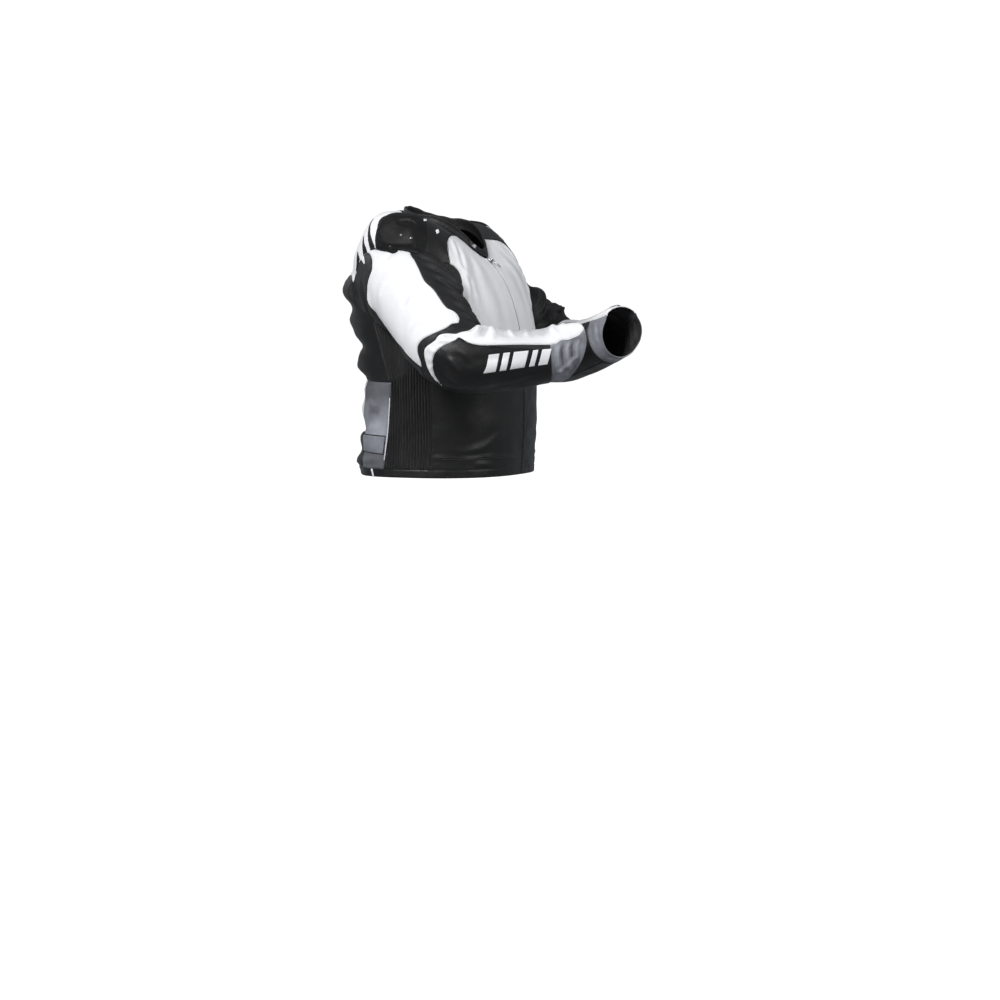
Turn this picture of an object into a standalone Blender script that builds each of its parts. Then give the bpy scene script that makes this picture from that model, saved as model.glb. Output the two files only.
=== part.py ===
"""A worn supermoto jacket: leather panels cut as patches of a body surface and two bent sleeve surfaces.

Metres, +Z up. The wearer faces -Y, so the wearer's right is -X. The origin is the middle of the neck opening.
Body positions are (angle, level): the angle in degrees from the centre front towards a side, and the level
as a row number of BODY. Sleeve positions are (angle, run): the angle round the sleeve in degrees, 0 on the
side of the elbow's point and 90 on the outer side, and the run from 0 at the armhole to 1 at the wrist.
"""

import math

import bmesh
import bpy
import numpy as np
from mathutils import Vector
from mathutils.bvhtree import BVHTree

RIGHT, LEFT = -1, 1
SIDES = {"right": RIGHT, "left": LEFT}

LEATHER = 0.0020
STRETCH = 0.0016
HEM_BAND = 0.0025
SEAM_GAP = 0.0003
PLEAT_DEPTH = 0.0012
PLEATS = 10
PLEATED_GAPS = (7 * SEAM_GAP, 7 * SEAM_GAP, SEAM_GAP, 9 * SEAM_GAP)

ZIP_HALF = 0.005
ZIP_THICKNESS = 0.0014
SLIDER_LEVEL = 6.35
SLIDER = (0.0090, 0.0120, 0.0040)
SLIDER_LIFT = 0.0006
LUG_GAP, LUG_THICKNESS, LUG_LENGTH, LUG_RISE = 0.0050, 0.0013, 0.0040, 0.0036
LUG_BELOW, LUG_ROOT, BARREL_SIDES = 0.0020, 0.0005, 12
PULL_BARREL, PULL_WIDTH, PULL_LENGTH, PULL_THICKNESS = 0.0011, 0.0044, 0.0260, 0.0014

COLLAR_BELOW, COLLAR_ABOVE, COLLAR_THICKNESS, COLLAR_LEAN, COLLAR_INSIDE = 0.004, 0.019, 0.0035, 0.004, 0.0018
COLLAR_START = 4.0
CUFF_ZIP = ((146, 0.885), (154, 0.885), (153, 0.980), (147, 0.980))
TAB_START, TAB_END, TAB_LOW, TAB_HIGH, TAB_LIFT = -34.0, 12.0, 0.0035, 0.0165, 0.0008
SNAP_ANGLE, SNAP_RADIUS, SNAP_RISE = -26.0, 0.0045, 0.0022

CUP_MIDDLE, CUP_REACH = (94.5, 5.62), (14.0, 0.76)
CUP_EDGE, CUP_DOME, CUP_CELLS = 0.0022, 0.0125, 6
TRIM_LIFT, TRIM_REACH = 0.0010, 0.010
ACCENTS = ((75.0, 6.02), (61.0, 5.72))
ACCENT_REACH = (2.2, 0.075)
STRAP = ((104.5, 0.52), (139.0, 0.52), (137.0, 0.86), (103.5, 0.86))
STRAP_TAB = ((139.6, 0.40), (146.0, 0.40), (144.5, 0.94), (137.8, 0.94))
# Black slashes across each end of the yoke.
# (start, end, start_width, end_width)
SLASHES = (
    ((138.0, 5.60), (112.0, 4.98), 0.003, 0.013),
    ((137.0, 5.14), (121.5, 4.72), 0.003, 0.012),
    ((138.0, 4.74), (129.5, 4.38), 0.003, 0.010),
)
METRES_PER_DEGREE, METRES_PER_LEVEL = 0.0034, 0.088

# One row for each level of the body, from the hem up to the neck opening.
# (half_width, front, back, z_side, z_front, z_back, squareness)
BODY = (
    (0.205, 0.178, 0.150, -0.540, -0.540, -0.540, 2.5),
    (0.202, 0.184, 0.144, -0.440, -0.440, -0.440, 2.5),
    (0.207, 0.184, 0.152, -0.330, -0.335, -0.320, 2.5),
    (0.212, 0.178, 0.168, -0.230, -0.250, -0.215, 2.5),
    (0.216, 0.162, 0.174, -0.145, -0.185, -0.140, 2.5),
    (0.212, 0.137, 0.154, -0.056, -0.130, -0.066, 2.4),
    (0.165, 0.112, 0.120, -0.010, -0.100, -0.016, 2.2),
    (0.080, 0.098, 0.090, -0.018, -0.088, 0.006, 2.0),
)
HEM_BAND_TOP = 0.17
BACK_SEAM = 1.85
CHEST_SEAM = 2.35
NECK = 7.0

# The armhole is a squared loop in (angle, level), walked by its own angle: 0 top, 90 front, 180 under,
# 270 back.
ARMHOLE_TOP, ARMHOLE_BOTTOM = 4.78, 3.10
ARMHOLE_FRONT, ARMHOLE_BACK = 40.0, 38.0
ARMHOLE_SQUARENESS_TOP, ARMHOLE_SQUARENESS_BOTTOM = 0.66, 0.86
STEP = 22.5
HEAD_STEP = 3.75

# Where each arm's axis runs. The right forearm reaches further across the front than the left.
# (shoulder, elbow, wrist)
ARMS = {
    RIGHT: ((-0.200, 0.004, -0.100), (-0.312, -0.166, -0.302), (-0.188, -0.398, -0.280)),
    LEFT: ((0.202, 0.010, -0.110), (0.300, -0.115, -0.298), (0.190, -0.345, -0.238)),
}
ELBOW_BEND = 0.084
# (run, radius_in_bend_plane, radius_across)
SLEEVE = (
    (0.00, 0.086, 0.084),
    (0.20, 0.085, 0.085),
    (0.36, 0.079, 0.081),
    (0.50, 0.072, 0.073),
    (0.60, 0.068, 0.069),
    (0.72, 0.064, 0.065),
    (0.86, 0.058, 0.057),
    (1.00, 0.047, 0.046),
)
SLEEVE_HEAD = 0.32
UPPER_ROWS = 7
# The angles where the sleeve's long seams meet the elbow band, and the columns of the panel before each.
FRONT_SEAM, BACK_SEAM_ANGLE, OUTER_SEAM = 235.0, 364.5, 487.0
BACK_COLUMNS, OUTER_COLUMNS, FRONT_COLUMNS = 13, 6, 6
UNDER_COLUMN, TIP_COLUMN, CORNER_COLUMN, TOP_COLUMN = 8, 12, 17, 23
SEAT_PIECES = 6
HEAD_EASE = 2.2
SLEEVE_CLEARANCE, CLEARANCE_RUN, ARMPIT_Z = 0.010, 0.07, -0.190
# Which angle of the sleeve meets which angle of the armhole loop.
# (loop, sleeve)
LOOP_TO_SLEEVE = ((0, 115), (90, 180), (180, 290), (270, 365), (360, 475))

# Seam lines on the body, in (angle, level), for one side. Each is mirrored for the other.
SIDE_PANEL_FRONT = ((78.0, 0.17), (75.0, 1.0), (74.5, CHEST_SEAM))
SIDE_PANEL_BACK = ((102.5, 0.17), (98.0, 1.0), (94.0, BACK_SEAM))
UNDER_FRONT, UNDER_BACK = 157.5, 202.5
INSERT_TOP, YOKE_END, YOKE_TOP = 45.0, 270.0, 337.5
INSERT_FOOT = (75.5, 2.90)
KIDNEY_BACK = ((138.0, 0.17), (132.0, 1.2), (124.0, BACK_SEAM))
INSERT_OUTER = (
    INSERT_FOOT, (66.0, 2.90), (56.5, 3.01), (49.0, 3.30), (45.0, 3.68),
    (43.5, 4.05), (43.5, 4.36), (46.0, 4.63), (51.5, 4.86),
)
SHOULDER_FRONT = ((51.5, 4.86), (51.0, 5.5), (49.5, 6.3), (53.0, NECK))
SHOULDER_BACK = ((110.2, 4.74), (111.0, 5.3), (114.0, 6.2), (106.0, NECK))
YOKE_FOOT = ((128.0, 3.94), (137.0, 3.86), (155.0, 3.92), (180.0, 4.0))

# Seam lines on a sleeve, in (angle, run). The cuff starts at one run all round.
CUFF_START = 0.862
OUTER_FRONT = (
    (115, 0), (111, 0.10), (100, 0.20), (96, 0.27), (107, 0.33), (114, 0.39), (124, 0.43), (127, 0.52),
)
OUTER_BACK = (
    (87.5, 0), (66, 0.085), (40, 0.108), (12, 0.122), (-10, 0.145), (-17, 0.24), (-4, 0.36), (4.5, 0.48),
)
FRONT_INNER = (
    (235, 0), (234, 0.045), (233, 0.09), (232, 0.14), (232, 0.20), (233, 0.30), (234, 0.42), (235, 0.541),
)
BAND_START = (
    (4.5, 0.480), (40, 0.463), (65, 0.463), (110, 0.488), (127, 0.520), (150, 0.543), (180, 0.552),
    (235, 0.541), (260, 0.522), (300, 0.500), (343, 0.487), (364.5, 0.480),
)
BAND_END = (
    (3, 0.506), (20, 0.490), (38, 0.482), (63, 0.498), (90, 0.535), (118, 0.580), (150, 0.598), (195, 0.602),
    (235, 0.590), (260, 0.566), (300, 0.540), (343, 0.520), (363, 0.506),
)
CRESCENT_INNER = ((343, 0.534), (361, 0.520), (387.5, 0.503), (406.5, 0.503), (425, 0.513), (442, 0.536))
TOP_LOWER = (
    (82, 0.536), (76, 0.58), (72, 0.63), (71, 0.74),
    (76, CUFF_START), (86, 0.910), (100, 0.960), (116, 0.995),
)
GUSSET_LOWER = ((66, 0.635), (61, 0.70), (57.5, 0.78), (60, 0.835), (70, CUFF_START))
TOP_UPPER = ((195, 0.602), (196, 0.75), (195, CUFF_START), (192, 0.965))
UNDER_SEAM = ((300, 0.540), (302, 0.70), (300, CUFF_START))
CUFF_END = (
    (-60, 0.925), (-7, 0.940), (26, 0.972), (60, 0.993), (90, 1.0), (116, 0.995), (150, 0.985), (192, 0.965),
    (240, 0.940), (300, 0.925),
)

COLOURS = {
    "white": ((0.86, 0.86, 0.87), 0.42, 0.0),
    "black": ((0.012, 0.012, 0.013), 0.40, 0.0),
    "stretch": ((0.016, 0.016, 0.018), 0.75, 0.0),
    "grey": ((0.20, 0.21, 0.24), 0.50, 0.0),
    "gloss": ((0.010, 0.010, 0.011), 0.15, 0.0),
    "metal": ((0.45, 0.45, 0.46), 0.30, 1.0),
}


def clear_scene():
    for obj in list(bpy.data.objects):
        bpy.data.objects.remove(obj, do_unlink=True)


def materials():
    made = {}
    for name, (colour, roughness, metallic) in COLOURS.items():
        material = bpy.data.materials.new(name)
        material.use_nodes = True
        shader = material.node_tree.nodes["Principled BSDF"]
        shader.inputs["Base Color"].default_value = (*colour, 1.0)
        shader.inputs["Roughness"].default_value = roughness
        shader.inputs["Metallic"].default_value = metallic
        material.diffuse_color = (*colour, 1.0)
        made[name] = material
    return made


# ---- surfaces


def smooth_rows(table, place):
    """The row of a table at a fractional row number, on a Catmull-Rom curve through its rows."""
    rows = np.asarray(table, float)
    last = len(rows) - 2
    first = np.clip(np.floor(place).astype(int), 0, last)
    t = (place - first)[..., None]
    before, after = rows[first], rows[first + 1]
    earlier = np.where((first > 0)[..., None], rows[np.maximum(first - 1, 0)], 2 * before - after)
    later = np.where((first < last)[..., None], rows[np.minimum(first + 2, last + 1)], 2 * after - before)
    return 0.5 * (
        2 * before
        + (after - earlier) * t
        + (2 * earlier - 5 * before + 4 * after - later) * t**2
        + (3 * before - earlier - 3 * after + later) * t**3
    )


def body_point(angle, level):
    """The point of the body surface at a signed angle, positive towards the wearer's left."""
    angle, level = np.broadcast_arrays(np.radians(angle), np.asarray(level, float))
    rows = np.moveaxis(smooth_rows(BODY, level), -1, 0)
    half_width, front, back, z_side, z_front, z_back, squareness = rows
    sine, cosine = np.sin(angle), np.cos(angle)
    power = 2 / squareness
    x = half_width * np.sign(sine) * np.abs(sine) ** power
    y = np.where(cosine > 0, -front, back) * np.abs(cosine) ** power
    z = z_side + np.where(cosine > 0, z_front - z_side, z_back - z_side) * cosine**2
    return np.stack([x, y, z], -1)


def armhole(loop):
    """(angle, level) of the armhole at a loop angle, for one side."""
    turn = np.radians(loop)
    sine, cosine = np.sin(turn), np.cos(turn)
    middle, half = (ARMHOLE_TOP + ARMHOLE_BOTTOM) / 2, (ARMHOLE_TOP - ARMHOLE_BOTTOM) / 2
    power = np.where(cosine > 0, ARMHOLE_SQUARENESS_TOP, ARMHOLE_SQUARENESS_BOTTOM)
    reach = np.where(sine > 0, -ARMHOLE_FRONT, ARMHOLE_BACK)
    return 90 + reach * np.abs(sine) ** power, middle + half * np.sign(cosine) * np.abs(cosine) ** power


def unit(vectors):
    vectors = np.asarray(vectors, float)
    return vectors / np.linalg.norm(vectors, axis=-1, keepdims=True)


class Arm:
    """The bent axis of one sleeve: straight, an arc at the elbow, straight."""

    def __init__(self, side):
        self.side = side
        self.shoulder, elbow, wrist = (np.array(p) for p in ARMS[side])
        self.down, self.fore = unit(elbow - self.shoulder), unit(wrist - elbow)
        self.across = unit(np.cross(self.down, self.fore)) * -side
        bend_cosine = self.down @ self.fore
        self.bend = math.acos(bend_cosine)
        tangent = ELBOW_BEND * math.tan(self.bend / 2)
        self.upper = np.linalg.norm(elbow - self.shoulder) - tangent
        self.length = self.upper + ELBOW_BEND * self.bend + np.linalg.norm(wrist - elbow) - tangent
        self.inward = unit(self.fore - bend_cosine * self.down)
        self.centre = self.shoulder + self.down * self.upper + self.inward * ELBOW_BEND

    def axis(self, distance):
        """The axis point and the unit vector to the outside of the bend, at a distance along the axis."""
        turn = np.clip((distance - self.upper) / ELBOW_BEND, 0, self.bend)[..., None]
        outward = np.sin(turn) * self.down - np.cos(turn) * self.inward
        before = np.minimum(distance - self.upper, 0)[..., None]
        after = np.maximum(distance - self.upper - ELBOW_BEND * self.bend, 0)[..., None]
        return self.centre + outward * ELBOW_BEND + self.down * before + self.fore * after, outward

    def point(self, angle, run):
        """The point of the sleeve surface. Its head eases from the armhole loop to round sections."""
        angle, run = np.broadcast_arrays(np.asarray(angle, float), np.asarray(run, float))
        loops, sleeves = np.array(LOOP_TO_SLEEVE, float).T
        first = sleeves[0]
        loop = np.interp(first + (angle - first) % 360, sleeves, loops)
        hole_angle, hole_level = armhole(loop)
        hole = body_point(self.side * hole_angle, hole_level) - self.shoulder
        start = hole @ self.down
        part = np.clip(run / SLEEVE_HEAD, 0, 1)
        distance = np.where(
            run < SLEEVE_HEAD,
            start * (1 - part) + SLEEVE_HEAD * self.length * part,
            run * self.length,
        )
        centre, outward = self.axis(distance)
        runs, in_plane, across = np.array(SLEEVE).T
        turn = np.radians(angle)
        section = (
            outward * (np.interp(run, runs, in_plane) * np.cos(turn))[..., None]
            + self.across * (np.interp(run, runs, across) * np.sin(turn))[..., None]
        )
        ease = (1 - (1 - part) ** HEAD_EASE)[..., None]
        points = centre + (hole - start[..., None] * self.down) * (1 - ease) + section * ease
        return self.clear_of_body(points, run)

    def clear_of_body(self, points, run):
        """The points moved sideways out of the body, where the sleeve hangs against its side."""
        rise = np.interp(points[..., 2], [row[3] for row in BODY[:6]], range(6))
        rows = smooth_rows(BODY, rise)
        depth = np.where(points[..., 1] < 0, rows[..., 1], rows[..., 2])
        across = np.clip(1 - np.abs(points[..., 1] / depth) ** rows[..., 6], 0, 1) ** (1 / rows[..., 6])
        wanted = rows[..., 0] * across + SLEEVE_CLEARANCE * np.clip(run / CLEARANCE_RUN, 0, 1)
        short = wanted - self.side * points[..., 0]
        below = np.clip((ARMPIT_Z - points[..., 2]) / SLEEVE_CLEARANCE, 0, 1)
        points = points.copy()
        points[..., 0] += self.side * np.clip(short, 0, None) * below * (across > 0)
        return points


def surface_normals(point, u, v, turn):
    """Unit normals out of the garment. The steps stay inside the surface's range."""
    du, dv = 0.4, 0.004
    back = np.where(v > 0.02, 0.01, 0.0)
    along_u = point(u + du, v) - point(u - du, v)
    along_v = point(u, v + dv - back) - point(u, v - back)
    return unit(np.cross(along_u, along_v) * turn)


class Body:
    """Patches of the body surface on one side, or across the back."""

    def __init__(self, side):
        self.side = side

    def point(self, angle, level):
        return body_point(self.side * np.asarray(angle), level)

    def normal(self, angle, level):
        plain = surface_normals(self.point, angle, level, self.side)
        return mitred(self, plain, angle, level)


class Sleeve:
    """Patches of one sleeve's surface."""

    def __init__(self, side):
        self.side = side
        self.point = Arm(side).point

    def plain_normal(self, angle, run):
        return surface_normals(self.point, angle, run, self.side)

    def normal(self, angle, run):
        plain = self.plain_normal(angle, run)
        at_head = np.asarray(run) < 1e-6
        if not at_head.any():
            return plain
        loops, sleeves = np.array(LOOP_TO_SLEEVE, float).T
        loop = np.interp(sleeves[0] + (angle - sleeves[0]) % 360, sleeves, loops)
        hole_angle, hole_level = armhole(loop)
        body = surface_normals(lambda a, b: body_point(self.side * a, b), hole_angle, hole_level, self.side)
        return np.where(at_head[..., None], mitre(plain, body), plain)


def mitre(one, other):
    """The vector half way between two normals, long enough to keep the wall's thickness at a corner."""
    both = unit(one + other)
    return both / np.maximum((both * one).sum(-1, keepdims=True), 0.7)


def mitred(body, plain, angle, level):
    """Normals of the body, turned half way to the sleeve's where a point is on the armhole."""
    middle, half = (ARMHOLE_TOP + ARMHOLE_BOTTOM) / 2, (ARMHOLE_TOP - ARMHOLE_BOTTOM) / 2
    away, rise = np.abs(np.asarray(angle)), np.asarray(level) - middle
    away = np.where(away > 180, 360 - away, away) - 90
    power = np.where(rise > 0, ARMHOLE_SQUARENESS_TOP, ARMHOLE_SQUARENESS_BOTTOM)
    sine = (np.abs(away) / np.where(away < 0, ARMHOLE_FRONT, ARMHOLE_BACK)) ** (1 / power)
    cosine = (np.abs(rise) / half) ** (1 / power)
    on_loop = np.abs(sine**2 + cosine**2 - 1) < 1e-4
    if not on_loop.any():
        return plain
    loop = np.degrees(np.arctan2(np.where(away < 0, 1, -1) * sine, np.sign(rise) * cosine)) % 360
    loops, sleeves = np.array(LOOP_TO_SLEEVE, float).T
    other_side = (np.asarray(angle) > 180) | (np.asarray(angle) < 0)
    ours = SLEEVES[body.side].plain_normal(np.interp(loop, loops, sleeves), np.zeros_like(loop))
    theirs = SLEEVES[-body.side].plain_normal(np.interp(loop, loops, sleeves), np.zeros_like(loop))
    sleeve = np.where(other_side[..., None], theirs, ours)
    return np.where(on_loop[..., None], mitre(plain, sleeve), plain)


# ---- seam lines


def line(points, pieces):
    """A seam through (u, v) points, cut into equal pieces of its table's length."""
    rows = np.asarray(points, float)
    return smooth_rows(rows, np.linspace(0, len(rows) - 1, pieces + 1))


def straight(start, end, pieces):
    return np.linspace(start, end, pieces + 1)


def loop_arc(start, end, step=STEP):
    """Armhole points in (angle, level) from one loop angle to another."""
    loop = np.linspace(start, end, round(abs(end - start) / step) + 1)
    return np.stack(armhole(loop % 360), -1)


def loop_at(loop):
    return loop_arc(loop, loop)[0]


def sleeve_arc(start, end, step=STEP):
    """The same armhole points as (sleeve angle, 0). Loop angles run on past 360 or below 0."""
    return sleeve_head(np.linspace(start, end, round(abs(end - start) / step) + 1))


def sleeve_head(loop):
    loops, sleeves = np.array(LOOP_TO_SLEEVE, float).T
    turns = np.floor(loop / 360)
    angle = np.interp(loop - 360 * turns, loops, sleeves) + 360 * turns
    return np.stack([angle, np.zeros_like(angle)], -1)


def joined(*lines):
    return np.concatenate([lines[0], *(each[1:] for each in lines[1:])])


def zip_edge(low, high, pieces):
    """The edge of a front panel beside the zip, at the tape's half width from the centre."""
    levels = np.linspace(low, high, pieces + 1)
    rows = smooth_rows(BODY, levels)
    angles = np.degrees(np.arcsin((ZIP_HALF / rows[:, 0]) ** (rows[:, 6] / 2)))
    return np.stack([angles, levels], -1)


def patch(bottom, top, start, end):
    """Coons patch of (u, v) between four seam lines. Bottom and top run from start to end."""
    across = np.linspace(0, 1, len(bottom))[:, None, None]
    along = np.linspace(0, 1, len(start))[None, :, None]
    ruled = (1 - along) * bottom[:, None] + along * top[:, None]
    ruled = ruled + (1 - across) * start[None] + across * end[None]
    corners = (1 - across) * ((1 - along) * bottom[0] + along * top[0])
    corners = corners + across * ((1 - along) * bottom[-1] + along * top[-1])
    return ruled - corners


# ---- solids


def shrink(points, normals, closed, gap):
    """Edge points moved into the panel so that two neighbours are a seam gap apart."""
    moved = points.copy()
    gaps = iter(np.broadcast_to(gap, 4)[2 if closed else 0 :])
    for axis, at, step in ((0, 0, 1), (0, -1, -1), (1, 0, 1), (1, -1, -1)):
        if axis == 0 and closed:
            continue
        grid = points if axis == 0 else points.transpose(1, 0, 2)
        normal = (normals if axis == 0 else normals.transpose(1, 0, 2))[at]
        edge, inner = grid[at], grid[at + step]
        into = np.cross(unit(np.gradient(edge, axis=0)), normal)
        into = unit(into * np.sign((into * (inner - edge)).sum(-1, keepdims=True)))
        shift = into * next(gaps) / 2
        target = moved if axis == 0 else moved.transpose(1, 0, 2)
        target[at] += shift
    return moved


def add_mesh(name, points, faces, material):
    mesh = bpy.data.meshes.new(name)
    mesh.from_pydata([tuple(map(float, p)) for p in points], [], [tuple(map(int, f)) for f in faces])
    shape = bmesh.new()
    shape.from_mesh(mesh)
    if shape.calc_volume(signed=True) < 0:
        bmesh.ops.reverse_faces(shape, faces=shape.faces)
    shape.to_mesh(mesh)
    shape.free()
    mesh.materials.append(MATERIALS[material])
    mesh.shade_smooth()
    mesh.set_sharp_from_angle(angle=math.radians(50))
    obj = bpy.data.objects.new(name, mesh)
    bpy.context.scene.collection.objects.link(obj)
    return obj


def wall(name, outer, inner, material, closed=False):
    """A closed solid between two grids of points, joined all round, or round its two rims if it is a ring."""
    columns, rows = outer.shape[:2]
    count = columns * rows
    spans = columns if closed else columns - 1

    def index(i, j, layer):
        return (i % columns) * rows + j + layer * count

    faces = []
    skin_start = len(SKIN_POINTS)
    SKIN_POINTS.extend(map(tuple, outer.reshape(-1, 3)))
    for i in range(spans):
        for j in range(rows - 1):
            a, b, c, d = index(i, j, 0), index(i + 1, j, 0), index(i + 1, j + 1, 0), index(i, j + 1, 0)
            faces += [(a, b, c), (a, c, d)]
            SKIN_FACES.extend(tuple(k + skin_start for k in face) for face in ((a, b, c), (a, c, d)))
            faces += [(c + count, b + count, a + count), (d + count, c + count, a + count)]
        for j, flip in ((0, True), (rows - 1, False)):
            a, b = index(i, j, 0), index(i + 1, j, 0)
            c, d = index(i + 1, j, 1), index(i, j, 1)
            faces += [(a, d, c), (a, c, b)] if flip else [(a, b, c), (a, c, d)]
    if not closed:
        for j in range(rows - 1):
            for i, flip in ((0, False), (columns - 1, True)):
                a, b = index(i, j, 0), index(i, j + 1, 0)
                c, d = index(i, j + 1, 1), index(i, j, 1)
                faces += [(a, d, c), (a, c, b)] if flip else [(a, b, c), (a, c, d)]
    return add_mesh(name, np.concatenate([outer.reshape(-1, 3), inner.reshape(-1, 3)]), faces, material)


def panel(name, surface, grid, material, thickness=LEATHER, closed=False, gap=SEAM_GAP, sink=None):
    """A leather panel over a patch: its outer face on the surface, its wall inwards."""
    u, v = grid[..., 0], grid[..., 1]
    points, normals = surface.point(u, v), surface.normal(u, v)
    if closed:
        points, normals, u, v = points[:-1], normals[:-1], u[:-1], v[:-1]
    points = shrink(points, normals, closed, gap)
    if sink is not None:
        points = points - normals * sink[..., None]
    wall(name, points, points - normals * thickness, material, closed)


# ---- the body's panels


def body_panels(name, side):
    """The panels of one side of the body."""
    body = Body(side)
    hem_front = zip_edge(HEM_BAND_TOP, HEM_BAND_TOP, 0)[0]
    chest_low = zip_edge(CHEST_SEAM, CHEST_SEAM, 0)[0]
    side_low, side_high = line(SIDE_PANEL_FRONT, 3), straight(SIDE_PANEL_FRONT[-1], INSERT_FOOT, 1)
    back_low = line(SIDE_PANEL_BACK, 3)
    under_front, under_back = loop_at(UNDER_FRONT), loop_at(UNDER_BACK)
    back_high = straight(SIDE_PANEL_BACK[-1], under_back, 2)

    front_bottom = straight(hem_front, SIDE_PANEL_FRONT[0], 6)
    front_top = straight(chest_low, SIDE_PANEL_FRONT[-1], 6)
    panel(
        f"lower_front_{name}", body,
        patch(front_bottom, front_top, zip_edge(HEM_BAND_TOP, CHEST_SEAM, 3), side_low), "black",
    )

    insert_outer = line(INSERT_OUTER, 5)
    shoulder_front = line(SHOULDER_FRONT, 4)
    chest_side = joined(side_high, insert_outer, shoulder_front)
    neck_start = zip_edge(NECK, NECK, 0)[0]
    chest_top = straight(neck_start, SHOULDER_FRONT[-1], 6)
    panel(
        f"chest_{name}", body,
        patch(front_top, chest_top, zip_edge(CHEST_SEAM, NECK, len(chest_side) - 1), chest_side), "white",
    )

    insert_inner = loop_arc(UNDER_FRONT, INSERT_TOP)
    panel(
        f"armhole_insert_{name}", body,
        patch(
            straight(insert_outer[0], insert_inner[0], 1), straight(insert_outer[-1], insert_inner[-1], 1),
            insert_outer, insert_inner,
        ),
        "stretch", STRETCH,
    )

    shoulder_bottom = joined(
        straight(insert_outer[-1], insert_inner[-1], 1),
        loop_arc(INSERT_TOP, 0),
        loop_arc(360, YOKE_TOP, HEAD_STEP),
    )
    shoulder_back = ends_set(line(SHOULDER_BACK, 4), loop_at(YOKE_TOP), SHOULDER_BACK[-1])
    shoulder_top = straight(SHOULDER_FRONT[-1], SHOULDER_BACK[-1], len(shoulder_bottom) - 1)
    panel(
        f"shoulder_panel_{name}", body,
        patch(shoulder_bottom, shoulder_top, shoulder_front, shoulder_back), "black",
    )

    columns = 2 * PLEATS
    pleat = patch(
        straight(SIDE_PANEL_FRONT[0], SIDE_PANEL_BACK[0], columns),
        joined(
            straight(under_front, loop_at(180), PLEATS), straight(loop_at(180), under_back, PLEATS)
        ),
        joined(side_low, side_high, straight(INSERT_FOOT, under_front, 1)),
        joined(back_low, back_high),
    )
    valleys = np.where(np.arange(columns + 1) % 2 == 1, PLEAT_DEPTH, 0.0)
    panel(
        f"side_panel_{name}", body, pleat, "stretch", STRETCH, gap=PLEATED_GAPS,
        sink=np.broadcast_to(valleys[:, None], pleat.shape[:2]),
    )

    panel(
        f"kidney_{name}", body,
        patch(
            straight(SIDE_PANEL_BACK[0], KIDNEY_BACK[0], 3),
            straight(SIDE_PANEL_BACK[-1], KIDNEY_BACK[-1], 3),
            back_low, line(KIDNEY_BACK, 3),
        ),
        "grey",
    )

    band_tops = joined(
        front_bottom, straight(SIDE_PANEL_FRONT[0], SIDE_PANEL_BACK[0], 3),
        straight(SIDE_PANEL_BACK[0], KIDNEY_BACK[0], 3), straight(KIDNEY_BACK[0], (180, HEM_BAND_TOP), 3),
    )
    band_bottoms = band_tops * (1, 0)
    band_bottoms[0] = zip_edge(0, 0, 0)[0]
    centre_back = straight((180, 0), (180, HEM_BAND_TOP), 1)
    panel(
        f"hem_band_{name}", body,
        patch(band_bottoms, band_tops, zip_edge(0, HEM_BAND_TOP, 1), centre_back), "black", HEM_BAND,
    )


def mirrored(points):
    """A seam on the far side, in angles that run on past 180 across the back."""
    return np.asarray(points) * (-1, 1) + (360, 0)


def across_back(points):
    """A seam from one side to the same place on the other, by way of the centre back."""
    return joined(points, mirrored(points)[::-1])


def back_panels():
    """The panels that run across the back, from the right side to the left."""
    body = Body(RIGHT)
    kidney_back = line(KIDNEY_BACK, 3)
    low_bottom = across_back(straight(KIDNEY_BACK[0], (180, HEM_BAND_TOP), 3))
    low_top = across_back(straight(KIDNEY_BACK[-1], (180, BACK_SEAM), 3))
    panel("lower_back", body, patch(low_bottom, low_top, kidney_back, mirrored(kidney_back)), "white")

    under_back = loop_at(UNDER_BACK)
    seam = across_back(
        joined(
            straight(SIDE_PANEL_BACK[-1], KIDNEY_BACK[-1], 3),
            straight(KIDNEY_BACK[-1], (180, BACK_SEAM), 3),
        )
    )
    yoke_foot = across_back(line(YOKE_FOOT, 6))
    rise = joined(straight(SIDE_PANEL_BACK[-1], under_back, 2), loop_arc(UNDER_BACK, YOKE_END))
    panel("upper_back", body, patch(seam, yoke_foot, rise, mirrored(rise)), "black")

    yoke_side = joined(loop_arc(YOKE_END, YOKE_TOP), line(SHOULDER_BACK, 4))
    neck = across_back(straight(SHOULDER_BACK[-1], (180, NECK), 6))
    panel("back_yoke", body, patch(yoke_foot, neck, yoke_side, mirrored(yoke_side)), "white")


# ---- sleeves


def ring_line(table, angles):
    """Points at the given angles on a line given as (angle, run) rows that go once round the sleeve."""
    known, runs = np.array(table, float).T
    order = np.argsort(known % 360)
    return np.stack([angles, np.interp(angles % 360, (known % 360)[order], runs[order], period=360)], -1)


def ends_set(points, start, end):
    """A seam line with its two ends moved to the corners that it shares."""
    points = points.copy()
    points[0], points[-1] = start, end
    return points


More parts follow.
